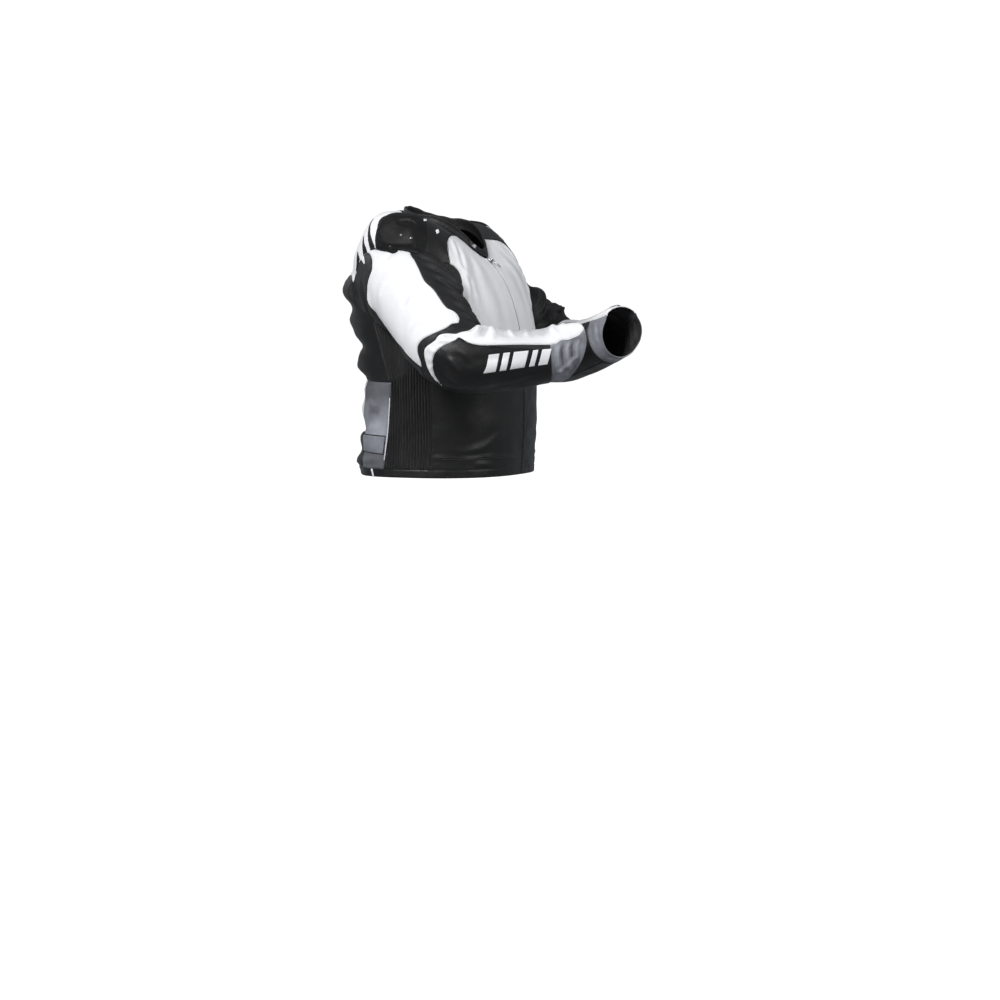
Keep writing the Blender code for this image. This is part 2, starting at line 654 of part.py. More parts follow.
def sleeve_panels(name, side):
    """The panels of one sleeve. The elbow band's columns set where the long seams end."""
    sleeve = Sleeve(side)
    turns = joined(
        np.linspace(FRONT_SEAM, BACK_SEAM_ANGLE, BACK_COLUMNS + 1),
        np.linspace(BACK_SEAM_ANGLE, OUTER_SEAM, OUTER_COLUMNS + 1),
        np.linspace(OUTER_SEAM, FRONT_SEAM + 360, FRONT_COLUMNS + 1),
    )
    near, far = ring_line(BAND_START, turns), ring_line(BAND_END, turns)
    back, outer = near[: BACK_COLUMNS + 1], near[BACK_COLUMNS : BACK_COLUMNS + OUTER_COLUMNS + 1]
    front = near[BACK_COLUMNS + OUTER_COLUMNS :]
    once_round = np.array((360.0, 0.0))

    outer_front = ends_set(line(OUTER_FRONT, UPPER_ROWS), (115, 0), outer[-1] - once_round)
    outer_back = ends_set(line(OUTER_BACK, UPPER_ROWS), sleeve_arc(YOKE_TOP, YOKE_TOP)[0], back[-1])
    outer_back[1:-1] += once_round
    inner_start = sleeve_arc(UNDER_FRONT - STEP, UNDER_FRONT)[0]
    front_inner = ends_set(line(FRONT_INNER, UPPER_ROWS), inner_start, near[0])
    underarm = joined(
        sleeve_arc(UNDER_FRONT - STEP, UNDER_FRONT),
        sleeve_arc(UNDER_FRONT, UNDER_BACK, (UNDER_BACK - UNDER_FRONT) / SEAT_PIECES),
        sleeve_arc(UNDER_BACK, YOKE_TOP),
    )
    panel(
        f"sleeve_outer_{name}", sleeve,
        patch(sleeve_arc(YOKE_TOP, 360, HEAD_STEP), outer, outer_back, outer_front + once_round), "white",
    )
    panel(
        f"sleeve_front_{name}", sleeve,
        patch(sleeve_arc(0, UNDER_FRONT - STEP), front - once_round, outer_front, front_inner),
        "stretch", STRETCH,
    )
    panel(
        f"sleeve_back_{name}", sleeve,
        patch(underarm, back, front_inner, outer_back), "black",
    )
    panel(
        f"elbow_band_{name}", sleeve, np.stack([near, far], 1), "stretch", STRETCH, closed=True,
    )

    edge = far[TIP_COLUMN : TOP_COLUMN + 1]
    crescent = line(CRESCENT_INNER, CORNER_COLUMN - TIP_COLUMN)
    lower = joined(line(TOP_LOWER[:3], 4), line(TOP_LOWER[2:5], 4), line(TOP_LOWER[4:], 4)) + once_round
    lower[0] = crescent[-1]
    upper = joined(line(TOP_UPPER[:3], 5), straight(TOP_UPPER[2], TOP_UPPER[3], 1)) + once_round
    upper[0] = edge[-1]
    inside, outside = joined(crescent, lower), joined(edge, upper)
    panel(
        f"forearm_top_{name}", sleeve,
        patch(straight(inside[0], outside[0], 3), straight(inside[-1], outside[-1], 3), inside, outside),
        "white",
    )

    gusset = line(GUSSET_LOWER, 4) + once_round
    panel(
        f"forearm_gusset_{name}", sleeve,
        patch(straight(gusset[0], lower[4], 1), straight(gusset[-1], lower[8], 1), gusset, lower[4:9]),
        "stretch", STRETCH,
    )

    under = line(UNDER_SEAM, 9)
    under[0] = far[UNDER_COLUMN]
    elbow_side = joined(far[UNDER_COLUMN : TIP_COLUMN + 1], straight(edge[0], crescent[0], 3), crescent)
    cuff_side = straight(under[-1], gusset[-1], len(elbow_side) - 1)
    panel(
        f"forearm_outer_{name}", sleeve,
        patch(elbow_side, cuff_side, under, joined(lower[:5], straight(lower[4], gusset[0], 1), gusset)),
        "black",
    )

    around = np.concatenate([far[TOP_COLUMN:], far[1 : UNDER_COLUMN + 1] + once_round])
    cuff_inner = straight(upper[5], under[-1] + once_round, len(around) - 1)
    panel(
        f"forearm_inner_{name}", sleeve,
        patch(around, cuff_inner, upper[:6], under[[0, 1, 2, 3, 6, 9]] + once_round), "black",
    )

    cuff_low = joined(cuff_inner - once_round, cuff_side, straight(gusset[-1], lower[8], 1))
    angles = np.linspace(upper[-1][0] - 360, lower[-1][0], len(cuff_low))
    cuff_high = ring_line(CUFF_END, angles)
    cuff_high = ends_set(cuff_high, upper[-1] - once_round, lower[-1])
    panel(
        f"cuff_{name}", sleeve,
        patch(cuff_low, cuff_high, straight(upper[5], upper[6], 4) - once_round, lower[8:]), "grey",
    )


# ---- pieces that lie on the panels


def laid_on(name, surface, grid, material, thickness):
    """A piece in a surface's form, brought down until it lies just outside the faceted panels."""
    u, v = grid[..., 0], grid[..., 1]
    points, normals = surface.point(u, v), surface.normal(u, v)
    skin = BVHTree.FromPolygons(SKIN_POINTS, SKIN_FACES)
    hits = [
        skin.ray_cast(Vector(point + TRIM_REACH * normal), Vector(-normal), 2 * TRIM_REACH)[3]
        for point, normal in zip(points.reshape(-1, 3), normals.reshape(-1, 3))
    ]
    nearest = min(TRIM_REACH if distance is None else distance for distance in hits) - TRIM_REACH
    foot = points + normals * (TRIM_LIFT - nearest)
    return wall(name, foot + normals * np.broadcast_to(thickness, u.shape)[..., None], foot, material)


def rounded_square(middle, reach, cells):
    """A grid over a rounded patch, and how far inside its rim each point is, from 0 to 1."""
    x, y = np.meshgrid(np.linspace(-1, 1, cells + 1), np.linspace(-1, 1, cells + 1), indexing="ij")
    grid = np.stack([x * np.sqrt(1 - y**2 / 2), y * np.sqrt(1 - x**2 / 2)], -1) * reach + middle
    return grid, (1 - x**2) * (1 - y**2)


def tapered(start, end, start_width, end_width, pieces):
    """A strip about a straight line on the body, with its own width at each end."""
    scale = np.array((METRES_PER_DEGREE, METRES_PER_LEVEL))
    start, end = np.array(start), np.array(end)
    direction = unit((end - start) * scale)
    sideways = np.array((-direction[1], direction[0])) / scale
    t = np.linspace(0, 1, pieces + 1)[:, None, None]
    half = (start_width + (end_width - start_width) * t) / 2
    return start + (end - start) * t + sideways * half * np.array((-1, 1))[None, :, None]


def quadrilateral(corners, across, along):
    a, b, c, d = (np.array(corner) for corner in corners)
    return patch(straight(a, b, across), straight(d, c, across), straight(a, d, along), straight(b, c, along))


def body_trim(name, side):
    body = Body(side)
    cup, inside = rounded_square(CUP_MIDDLE, CUP_REACH, CUP_CELLS)
    laid_on(f"shoulder_cup_{name}", body, cup, "gloss", CUP_EDGE + (CUP_DOME - CUP_EDGE) * inside**0.45)
    for number, (angle, level) in enumerate(ACCENTS, 1):
        lean, rise = ACCENT_REACH
        diamond = ((angle - lean, level), (angle, level - rise), (angle + lean, level), (angle, level + rise))
        laid_on(f"accent_{name}_{number}", body, quadrilateral(diamond, 1, 1), "white", 0.0010)
    laid_on(f"waist_strap_{name}", body, quadrilateral(STRAP, 8, 2), "grey", 0.0016)
    laid_on(f"strap_tab_{name}", body, quadrilateral(STRAP_TAB, 2, 4), "black", 0.0020)
    for number, slash in enumerate(SLASHES, 1):
        laid_on(f"yoke_slash_{name}_{number}", body, tapered(*slash, 6), "black", 0.0010)


def cuff_trim(name, sleeve):
    laid_on(f"cuff_zip_{name}", sleeve, quadrilateral(CUFF_ZIP, 1, 4), "black", 0.0016)


# ---- neck and zip


def neck_angles():
    """The angles of the neck opening's points, from the zip round the back to the zip again."""
    half = joined(
        np.linspace(COLLAR_START, SHOULDER_FRONT[-1][0], 9),
        np.linspace(SHOULDER_FRONT[-1][0], SHOULDER_BACK[-1][0], 9),
        np.linspace(SHOULDER_BACK[-1][0], 180, 7),
    )
    return np.concatenate([half, 360 - half[-2::-1]])


def collar_face(angles, heights, out):
    """Points of the collar's outer face at angles and heights above the neck, moved out, and unit normals."""
    angle, height = np.meshgrid(angles, heights, indexing="ij")
    foot = body_point(angle, NECK)
    ahead = body_point(angle + 0.5, NECK) - body_point(angle - 0.5, NECK)
    ahead[..., 2] = 0
    outward = unit(np.cross(ahead, (0, 0, 1)))
    lean = COLLAR_LEAN * np.clip(height, 0, None) / COLLAR_ABOVE + COLLAR_INSIDE
    points = foot + outward * (out - lean)[..., None]
    return points + height[..., None] * np.array((0, 0, 1)), outward


def collar():
    heights = (-COLLAR_BELOW, COLLAR_ABOVE)
    outer, outward = collar_face(neck_angles(), heights, 0.0)
    wall("collar", outer, outer - outward * COLLAR_THICKNESS, "stretch")

    angles = np.linspace(TAB_START, TAB_END, 9)
    foot, outward = collar_face(angles, np.array((TAB_LOW, TAB_HIGH)), TAB_LIFT)
    wall("collar_tab", foot + outward * LEATHER, foot, "black")
    middle = np.array([(TAB_LOW + TAB_HIGH) / 2])
    base, outward = collar_face(np.array([SNAP_ANGLE]), middle, TAB_LIFT + LEATHER + TAB_LIFT)
    axis = outward[0, 0] + (0, 0, COLLAR_LEAN / COLLAR_ABOVE)
    disc("collar_snap", base[0, 0], axis, SNAP_RADIUS, SNAP_RISE, "metal")


def disc(name, middle, axis, radius, height, material, sides=16):
    """A round button with a slightly narrower top."""
    frame = axes_about(axis)
    turn = np.linspace(0, 2 * math.pi, sides, endpoint=False)
    ring = np.stack([np.cos(turn), np.sin(turn)], -1) @ frame[:2]
    rings = [middle + ring * radius, middle + ring * radius + frame[2] * 0.6 * height]
    rings.append(middle + ring * 0.7 * radius + frame[2] * height)
    points = np.concatenate(rings)
    faces = [tuple(range(sides))[::-1], tuple(range(2 * sides, 3 * sides))]
    for low in (0, sides):
        for k in range(sides):
            after = (k + 1) % sides
            faces.append((low + k, low + after, low + sides + after, low + sides + k))
    return add_mesh(name, points, faces, material)


def axes_about(axis):
    """Rows of two unit vectors across an axis and the axis itself."""
    axis = unit(axis)
    aside = unit(np.cross((0, 0, 1) if abs(axis[2]) < 0.9 else (0, 1, 0), axis))
    return np.array([aside, np.cross(axis, aside), axis])


def zip_tapes():
    levels = joined(
        zip_edge(0, HEM_BAND_TOP, 1), zip_edge(HEM_BAND_TOP, CHEST_SEAM, 3), zip_edge(CHEST_SEAM, NECK, 10),
    )
    middle = levels * (0, 1)
    for name, side in SIDES.items():
        panel(
            f"zip_tape_{name}", Body(side),
            patch(straight(middle[0], levels[0], 1), straight(middle[-1], levels[-1], 1), middle, levels),
            "stretch", ZIP_THICKNESS,
        )


def box(middle, frame, size, low=(-0.5, -0.5, 0.0)):
    """Corner points of a box in a frame of three unit rows, from a low corner given in shares of its size."""
    corners = [
        (np.array((x, y, z)) + low) * size for x in (0, 1) for y in (0, 1) for z in (0, 1)
    ]
    return middle + np.array(corners) @ frame


BOX_FACES = ((0, 1, 3, 2), (4, 6, 7, 5), (0, 4, 5, 1), (2, 3, 7, 6), (0, 2, 6, 4), (1, 5, 7, 3))


def slider_and_pull():
    """The zip's slider, closed at the neck, and its pull tab, which hinges between the slider's two lugs."""
    point = body_point(0, SLIDER_LEVEL)
    up = unit(body_point(0, SLIDER_LEVEL + 0.05) - body_point(0, SLIDER_LEVEL - 0.05))
    across = np.array((1.0, 0.0, 0.0))
    out = unit(np.cross(across, up))
    frame = np.array([across, up, out])
    seat = point + out * SLIDER_LIFT
    lug_size = (LUG_THICKNESS, LUG_LENGTH, LUG_RISE + LUG_ROOT)
    slider = add_mesh("zip_slider", box(seat, frame, SLIDER), BOX_FACES, "metal")
    for side in (-1, 1):
        foot = seat + out * (SLIDER[2] - LUG_ROOT) - up * LUG_BELOW
        foot = foot + across * side * (LUG_GAP + LUG_THICKNESS) / 2
        lug = add_mesh(f"lug_{side}", box(foot, frame, lug_size), BOX_FACES, "metal")
        union = slider.modifiers.new("lug", "BOOLEAN")
        union.operation = "UNION"
        union.object = lug
        lug.hide_render = True
        lug.display_type = "WIRE"

    hinge = seat + out * (SLIDER[2] + 0.55 * LUG_RISE) - up * LUG_BELOW
    sides = BARREL_SIDES
    turn = np.linspace(0, 2 * math.pi, sides, endpoint=False)
    ring = (np.stack([0 * turn, np.cos(turn), np.sin(turn)], -1) * PULL_BARREL) @ frame
    ends = [hinge + across * side * PULL_WIDTH / 2 + ring for side in (-1, 1)]
    faces = [tuple(range(sides)), tuple(range(sides, 2 * sides))[::-1]]
    faces += [(k, k + sides, (k + 1) % sides + sides, (k + 1) % sides) for k in range(sides)]
    pull = add_mesh("zip_pull", np.concatenate(ends) - hinge, faces, "metal")
    pull.location = hinge
    size = (PULL_WIDTH, PULL_LENGTH, PULL_THICKNESS)
    plate = add_mesh("pull_plate", box(np.zeros(3), frame, size, (-0.5, -1.0, -0.5)), BOX_FACES, "metal")
    plate.parent = pull
    union = pull.modifiers.new("plate", "BOOLEAN")
    union.operation = "UNION"
    union.object = plate
    plate.hide_render = True
    plate.display_type = "WIRE"


clear_scene()
MATERIALS = materials()
SKIN_POINTS, SKIN_FACES = [], []
SLEEVES = {side: Sleeve(side) for side in SIDES.values()}
for side_name, side_sign in SIDES.items():
    body_panels(side_name, side_sign)
    sleeve_panels(side_name, side_sign)
back_panels()
for side_name, side_sign in SIDES.items():
    body_trim(side_name, side_sign)
    cuff_trim(side_name, SLEEVES[side_sign])
collar()
zip_tapes()
slider_and_pull()
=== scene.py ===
"""Looks of a worn supermoto jacket: leather shells with creases, seams and stitches, zip and shoulder armour.

Body positions are (angle, level) and sleeve positions are (angle, run), on the same surfaces as the CAD panels.
Each panel is a fine shell between the CAD panel's seams, moved along its normal by creases, ribs and seam rolls.
"""

import math

import bpy
import numpy as np
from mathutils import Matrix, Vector


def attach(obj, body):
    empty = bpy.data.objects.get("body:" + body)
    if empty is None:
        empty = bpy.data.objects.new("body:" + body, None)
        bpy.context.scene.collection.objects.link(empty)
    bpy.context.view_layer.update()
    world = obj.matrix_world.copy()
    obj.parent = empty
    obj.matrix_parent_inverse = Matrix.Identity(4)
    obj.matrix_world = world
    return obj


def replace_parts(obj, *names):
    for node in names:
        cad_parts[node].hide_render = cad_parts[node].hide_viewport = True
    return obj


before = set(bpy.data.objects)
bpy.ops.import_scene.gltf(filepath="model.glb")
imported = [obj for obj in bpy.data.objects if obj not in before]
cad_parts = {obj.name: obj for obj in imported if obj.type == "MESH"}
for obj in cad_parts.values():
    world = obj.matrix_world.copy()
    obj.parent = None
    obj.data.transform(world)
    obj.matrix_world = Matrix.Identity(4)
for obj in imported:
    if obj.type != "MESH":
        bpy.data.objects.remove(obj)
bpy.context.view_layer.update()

RIGHT, LEFT = -1, 1
SIDES = {"right": RIGHT, "left": LEFT}
DENSE = 12  # steps of a seam line for each piece of the CAD panel's edge
CELL = 0.0035
FINE_CELL = 0.0020
SHARP = math.radians(50)
EDGE_PLACES = (0.0, 0.13, 0.32, 0.62)  # grid lines beside an edge, in cells
BODY_SCALE, SLEEVE_SCALE = (0.0034, 0.088), (0.0013, 0.56)  # metres for one step of (angle, level or run)
ONCE_ROUND = np.array((360.0, 0.0))

LEATHER, STRETCH, HEM_THICKNESS = 0.0016, 0.0014, 0.0024
EDGE_DROP, FREE_DROP, EDGE_ROLL, INSIDE_CAP = 0.0011, 0.0004, 0.0026, 0.0004
SEAM_SWELL, SEAM_SWELL_AT, SEAM_SWELL_WIDTH = 0.0003, 0.0042, 0.0016
PUCKER, PUCKER_SIZE, PUCKER_REACH = 0.0007, 0.008, 0.009
BROAD, FINE = (0.085, 0.0011), (0.026, 0.00035)  # (size, height) of the leather's slow waves
FADE, TURN = 0.016, 0.008  # reach from an armhole in which creases fade and normals turn
# Folds wider than this have no hollows at their feet. A hollow's place and spread are in crease widths.
PADDING_WIDTH, HOLLOW, HOLLOW_AT, HOLLOW_SPREAD = 0.03, 0.32, 1.9, 0.8
STROKE_STEP, STROKE_TAPER = 0.003, 0.3
RIB_PITCH, RIB_DEPTH, RIB_CELL, RIB_ROW = 0.0061, 0.0012, 0.00075, CELL * 1.7
RIB_SWAY, RIB_SWAY_SIZE, RIB_SWAY_STRETCH, RIB_WEAR_SIZE = 0.10, 0.035, (0.3, 0.3, 1), 0.05
ZIP_FLAP, FACING_LEVELS = 0.0013, (0.395, 0.435)
LEAST_SIDE, LEAST_FILL = 0.0101, 0.301  # least side, and least area as a share of width times length, in declare()'s sizes

# Distances of stitch rows from a panel's edge.
DOUBLE, SINGLE, ZIP_STITCH, HEM_STITCH = (0.0022, 0.0056), (0.0022,), (0.004,), (0.003,)
STITCH, STITCH_GAP, STITCH_RADIUS, STITCH_LIFT = 0.0026, 0.0010, 0.00028, 0.00008
THREAD_OF = {
    "white_leather": "white", "black_leather": "black", "grey_leather": "grey", "kidney_leather": "grey",
}
THREADS = {"white": [], "black": [], "grey": []}

# ---- the garment's surfaces, as in the CAD

# (half_width, front, back, z_side, z_front, z_back, squareness)
BODY = (
    (0.205, 0.178, 0.150, -0.540, -0.540, -0.540, 2.5),
    (0.202, 0.184, 0.144, -0.440, -0.440, -0.440, 2.5),
    (0.207, 0.184, 0.152, -0.330, -0.335, -0.320, 2.5),
    (0.212, 0.178, 0.168, -0.230, -0.250, -0.215, 2.5),
    (0.216, 0.162, 0.174, -0.145, -0.185, -0.140, 2.5),
    (0.212, 0.137, 0.154, -0.056, -0.130, -0.066, 2.4),
    (0.165, 0.112, 0.120, -0.010, -0.100, -0.016, 2.2),
    (0.080, 0.098, 0.090, -0.018, -0.088, 0.006, 2.0),
)
HEM_BAND_TOP, BACK_SEAM, CHEST_SEAM, NECK = 0.17, 1.85, 2.35, 7.0
ARMHOLE_TOP, ARMHOLE_BOTTOM = 4.78, 3.10
ARMHOLE_FRONT, ARMHOLE_BACK = 40.0, 38.0
ARMHOLE_SQUARENESS_TOP, ARMHOLE_SQUARENESS_BOTTOM = 0.66, 0.86
# (shoulder, elbow, wrist)
ARMS = {
    RIGHT: ((-0.200, 0.004, -0.100), (-0.312, -0.166, -0.302), (-0.188, -0.398, -0.280)),
    LEFT: ((0.202, 0.010, -0.110), (0.300, -0.115, -0.298), (0.190, -0.345, -0.238)),
}
ELBOW_BEND = 0.084
# (run, radius_in_bend_plane, radius_across)
SLEEVE = (
    (0.00, 0.086, 0.084), (0.20, 0.085, 0.085), (0.36, 0.079, 0.081), (0.50, 0.072, 0.073),
    (0.60, 0.068, 0.069), (0.72, 0.064, 0.065), (0.86, 0.058, 0.057), (1.00, 0.047, 0.046),
)
SLEEVE_HEAD, HEAD_EASE = 0.32, 2.2
SLEEVE_CLEARANCE, CLEARANCE_RUN, ARMPIT_Z, CLEARANCE_SOFT = 0.010, 0.07, -0.190, 0.004
# (loop, sleeve)
LOOP_TO_SLEEVE = ((0, 115), (90, 180), (180, 290), (270, 365), (360, 475))

# Seams of the body, in (angle, level).
SIDE_PANEL_FRONT = ((75.0, 0.17), (74.0, 1.0), (74.5, CHEST_SEAM))
SIDE_PANEL_BACK = ((102.0, 0.17), (98.2, 1), (95.2, BACK_SEAM))
UNDER_FRONT, UNDER_BACK, INSERT_TOP, YOKE_END, YOKE_TOP, INNER_START = 157.5, 202.5, 45.0, 283.0, 349.0, 135.0
OUTER_START, OUTER_END = 331.0, 7.0
INSERT_FOOT = (75.5, 2.90)
KIDNEY_BACK = ((140.5, 0.17), (136.5, 1.2), (127.0, BACK_SEAM))
INSERT_OUTER = (
    INSERT_FOOT, (66.0, 2.90), (57.0, 3.02), (51.5, 3.30), (48.8, 3.62),
    (47.8, 3.90), (45.6, 4.10), (43.6, 4.34), (44.0, 4.56), (46.6, 4.67), (51.3, 4.70),
)
SHOULDER_FRONT = ((51.3, 4.70), (51.0, 5.5), (49.5, 6.3), (53.0, NECK))
SHOULDER_BACK = ((103.0, 4.77), (105.5, 5.1), (109.0, 5.60), (104.5, 6.00), (94.0, NECK))
YOKE_FOOT = ((127.3, 4.24), (130.5, 4.03), (138.0, 4.18), (156.0, 4.24), (180.0, 4.30))

# Seams of a sleeve, in (angle, run).
FRONT_SEAM, BACK_SEAM_ANGLE, OUTER_SEAM = 235.0, 364.5, 467.5
BACK_COLUMNS, OUTER_COLUMNS, FRONT_COLUMNS = 13, 6, 6
UNDER_COLUMN, TIP_COLUMN, CORNER_COLUMN, TOP_COLUMN = 8, 12, 17, 23
OUTER_FRONT = (
    (121, 0), (120, 0.035), (115, 0.080), (107, 0.130), (97.5, 0.205), (92.5, 0.27), (98, 0.313), (100, 0.349),
    (102.5, 0.388), (107, 0.412), (115, 0.424), (118, 0.452), (115, 0.480), (107.5, 0.497),
)
OUTER_BACK = (
    (80, 0), (66, 0.045), (54, 0.080), (38, 0.116), (18, 0.122), (0, 0.135), (-14, 0.18), (-17, 0.26), (-4, 0.37),
    (4.5, 0.48),
)
FRONT_INNER = (
    (235, 0), (234, 0.045), (233, 0.09), (232, 0.14), (232, 0.20), (233, 0.30), (234, 0.42), (235, 0.541),
)
BAND_START = (
    (4.5, 0.480), (15, 0.474), (24, 0.462), (33, 0.455), (44, 0.455), (64, 0.467), (88, 0.484), (98, 0.485),
    (107, 0.497), (127, 0.519), (150, 0.543), (180, 0.552), (235, 0.541), (260, 0.522), (300, 0.500), (343, 0.487),
)
BAND_END = (
    (3, 0.503), (19, 0.488), (37.5, 0.474), (58.5, 0.484), (72, 0.487), (79, 0.503), (85, 0.524), (92, 0.535),
    (99, 0.552), (117.5, 0.576), (138, 0.606), (160, 0.610), (195, 0.603), (235, 0.590), (260, 0.566), (300, 0.540),
    (346.5, 0.526),
)
CRESCENT_INNER = (
    (343, 0.534), (352, 0.524), (367, 0.511), (390, 0.501), (404, 0.501), (417, 0.509), (427, 0.522), (434, 0.531),
    (443, 0.541),
)
CUFF_START = 0.862
TOP_LOWER = (
    (83, 0.541), (78, 0.570), (75.5, 0.600), (74, 0.635), (72, 0.74),
    (69, CUFF_START), (71, 0.885), (78, 0.905), (80, 0.935), (91, 0.972), (106, 0.995),
)
GUSSET_LOWER = ((71, 0.640), (66, 0.70), (60, 0.78), (57, 0.835), (58, CUFF_START))
TOP_UPPER = ((195, 0.602), (196, 0.75), (195, CUFF_START), (192, 0.965))
UNDER_SEAM = ((300, 0.540), (302, 0.70), (300, CUFF_START))
CUFF_END = (
    (-60, 0.925), (-7, 0.940), (26, 0.972), (60, 0.993), (90, 1.0), (116, 0.995), (150, 0.985), (192, 0.965),
    (240, 0.940),
)


def smooth_rows(table, place):
    """The row of a table at a fractional row number, on a Catmull-Rom curve through its rows."""
    rows = np.asarray(table, float)
    last = len(rows) - 2
    first = np.clip(np.floor(place).astype(int), 0, last)
    t = (place - first)[..., None]
    before, after = rows[first], rows[first + 1]
    earlier = np.where((first > 0)[..., None], rows[np.maximum(first - 1, 0)], 2 * before - after)
    later = np.where((first < last)[..., None], rows[np.minimum(first + 2, last + 1)], 2 * after - before)
    return 0.5 * (
        2 * before
        + (after - earlier) * t
        + (2 * earlier - 5 * before + 4 * after - later) * t**2
        + (3 * before - earlier - 3 * after + later) * t**3
    )


def smooth_between(x, table):
    """Values of a table's later columns at x, on a smooth curve through its rows. x is its first column."""
    rows = np.array(table, float)
    slope = np.gradient(rows[:, 1:], rows[:, 0], axis=0)
    first = np.clip(np.searchsorted(rows[:, 0], x, side="right") - 1, 0, len(rows) - 2)
    gap = rows[first + 1, 0] - rows[first, 0]
    t = np.clip((x - rows[first, 0]) / gap, 0, 1)[..., None]
    gap = gap[..., None]
    return (
        rows[first, 1:] * (1 + 2 * t) * (1 - t) ** 2
        + slope[first] * gap * t * (1 - t) ** 2
        + rows[first + 1, 1:] * t**2 * (3 - 2 * t)
        + slope[first + 1] * gap * t**2 * (t - 1)
    )


def unit(vectors):
    vectors = np.asarray(vectors, float)
    return vectors / np.linalg.norm(vectors, axis=-1, keepdims=True)


def soft_step(x):
    x = np.clip(x, 0, 1)
    return x * x * (3 - 2 * x)


def run_of(points, scale=1.0):
    """Distance along a line of points from its first one."""
    return np.concatenate([[0], np.cumsum(np.linalg.norm(np.diff(points, axis=0) * scale, axis=1))])


def at_run(where, run, values):
    """Rows of values at places along a run."""
    return np.stack([np.interp(where, run, column) for column in values.T], -1)


def body_point(angle, level):
    """The point of the body surface at a signed angle, positive towards the wearer's left."""
    angle, level = np.broadcast_arrays(np.radians(angle), np.asarray(level, float))
    rows = np.moveaxis(smooth_rows(BODY, level), -1, 0)
    half_width, front, back, z_side, z_front, z_back, squareness = rows
    sine, cosine = np.sin(angle), np.cos(angle)
    power = 2 / squareness
    x = half_width * np.sign(sine) * np.abs(sine) ** power
    y = np.where(cosine > 0, -front, back) * np.abs(cosine) ** power
    z = z_side + np.where(cosine > 0, z_front - z_side, z_back - z_side) * cosine**2
    return np.stack([x, y, z], -1)


def on_side(side):
    """The body surface of one side, with its angles counted from the centre front."""
    return lambda angle, level: body_point(side * np.asarray(angle, float), level)


def armhole(loop):
    """(angle, level) of the armhole at a loop angle, for one side."""
    turn = np.radians(loop)
    sine, cosine = np.sin(turn), np.cos(turn)
    middle, half = (ARMHOLE_TOP + ARMHOLE_BOTTOM) / 2, (ARMHOLE_TOP - ARMHOLE_BOTTOM) / 2
    power = np.where(cosine > 0, ARMHOLE_SQUARENESS_TOP, ARMHOLE_SQUARENESS_BOTTOM)
    reach = np.where(sine > 0, -ARMHOLE_FRONT, ARMHOLE_BACK)
    return 90 + reach * np.abs(sine) ** power, middle + half * np.sign(cosine) * np.abs(cosine) ** power


LOOPS = np.linspace(0, 360, 721)
SLEEVE_ANGLES = smooth_between(LOOPS, LOOP_TO_SLEEVE)[:, 0]


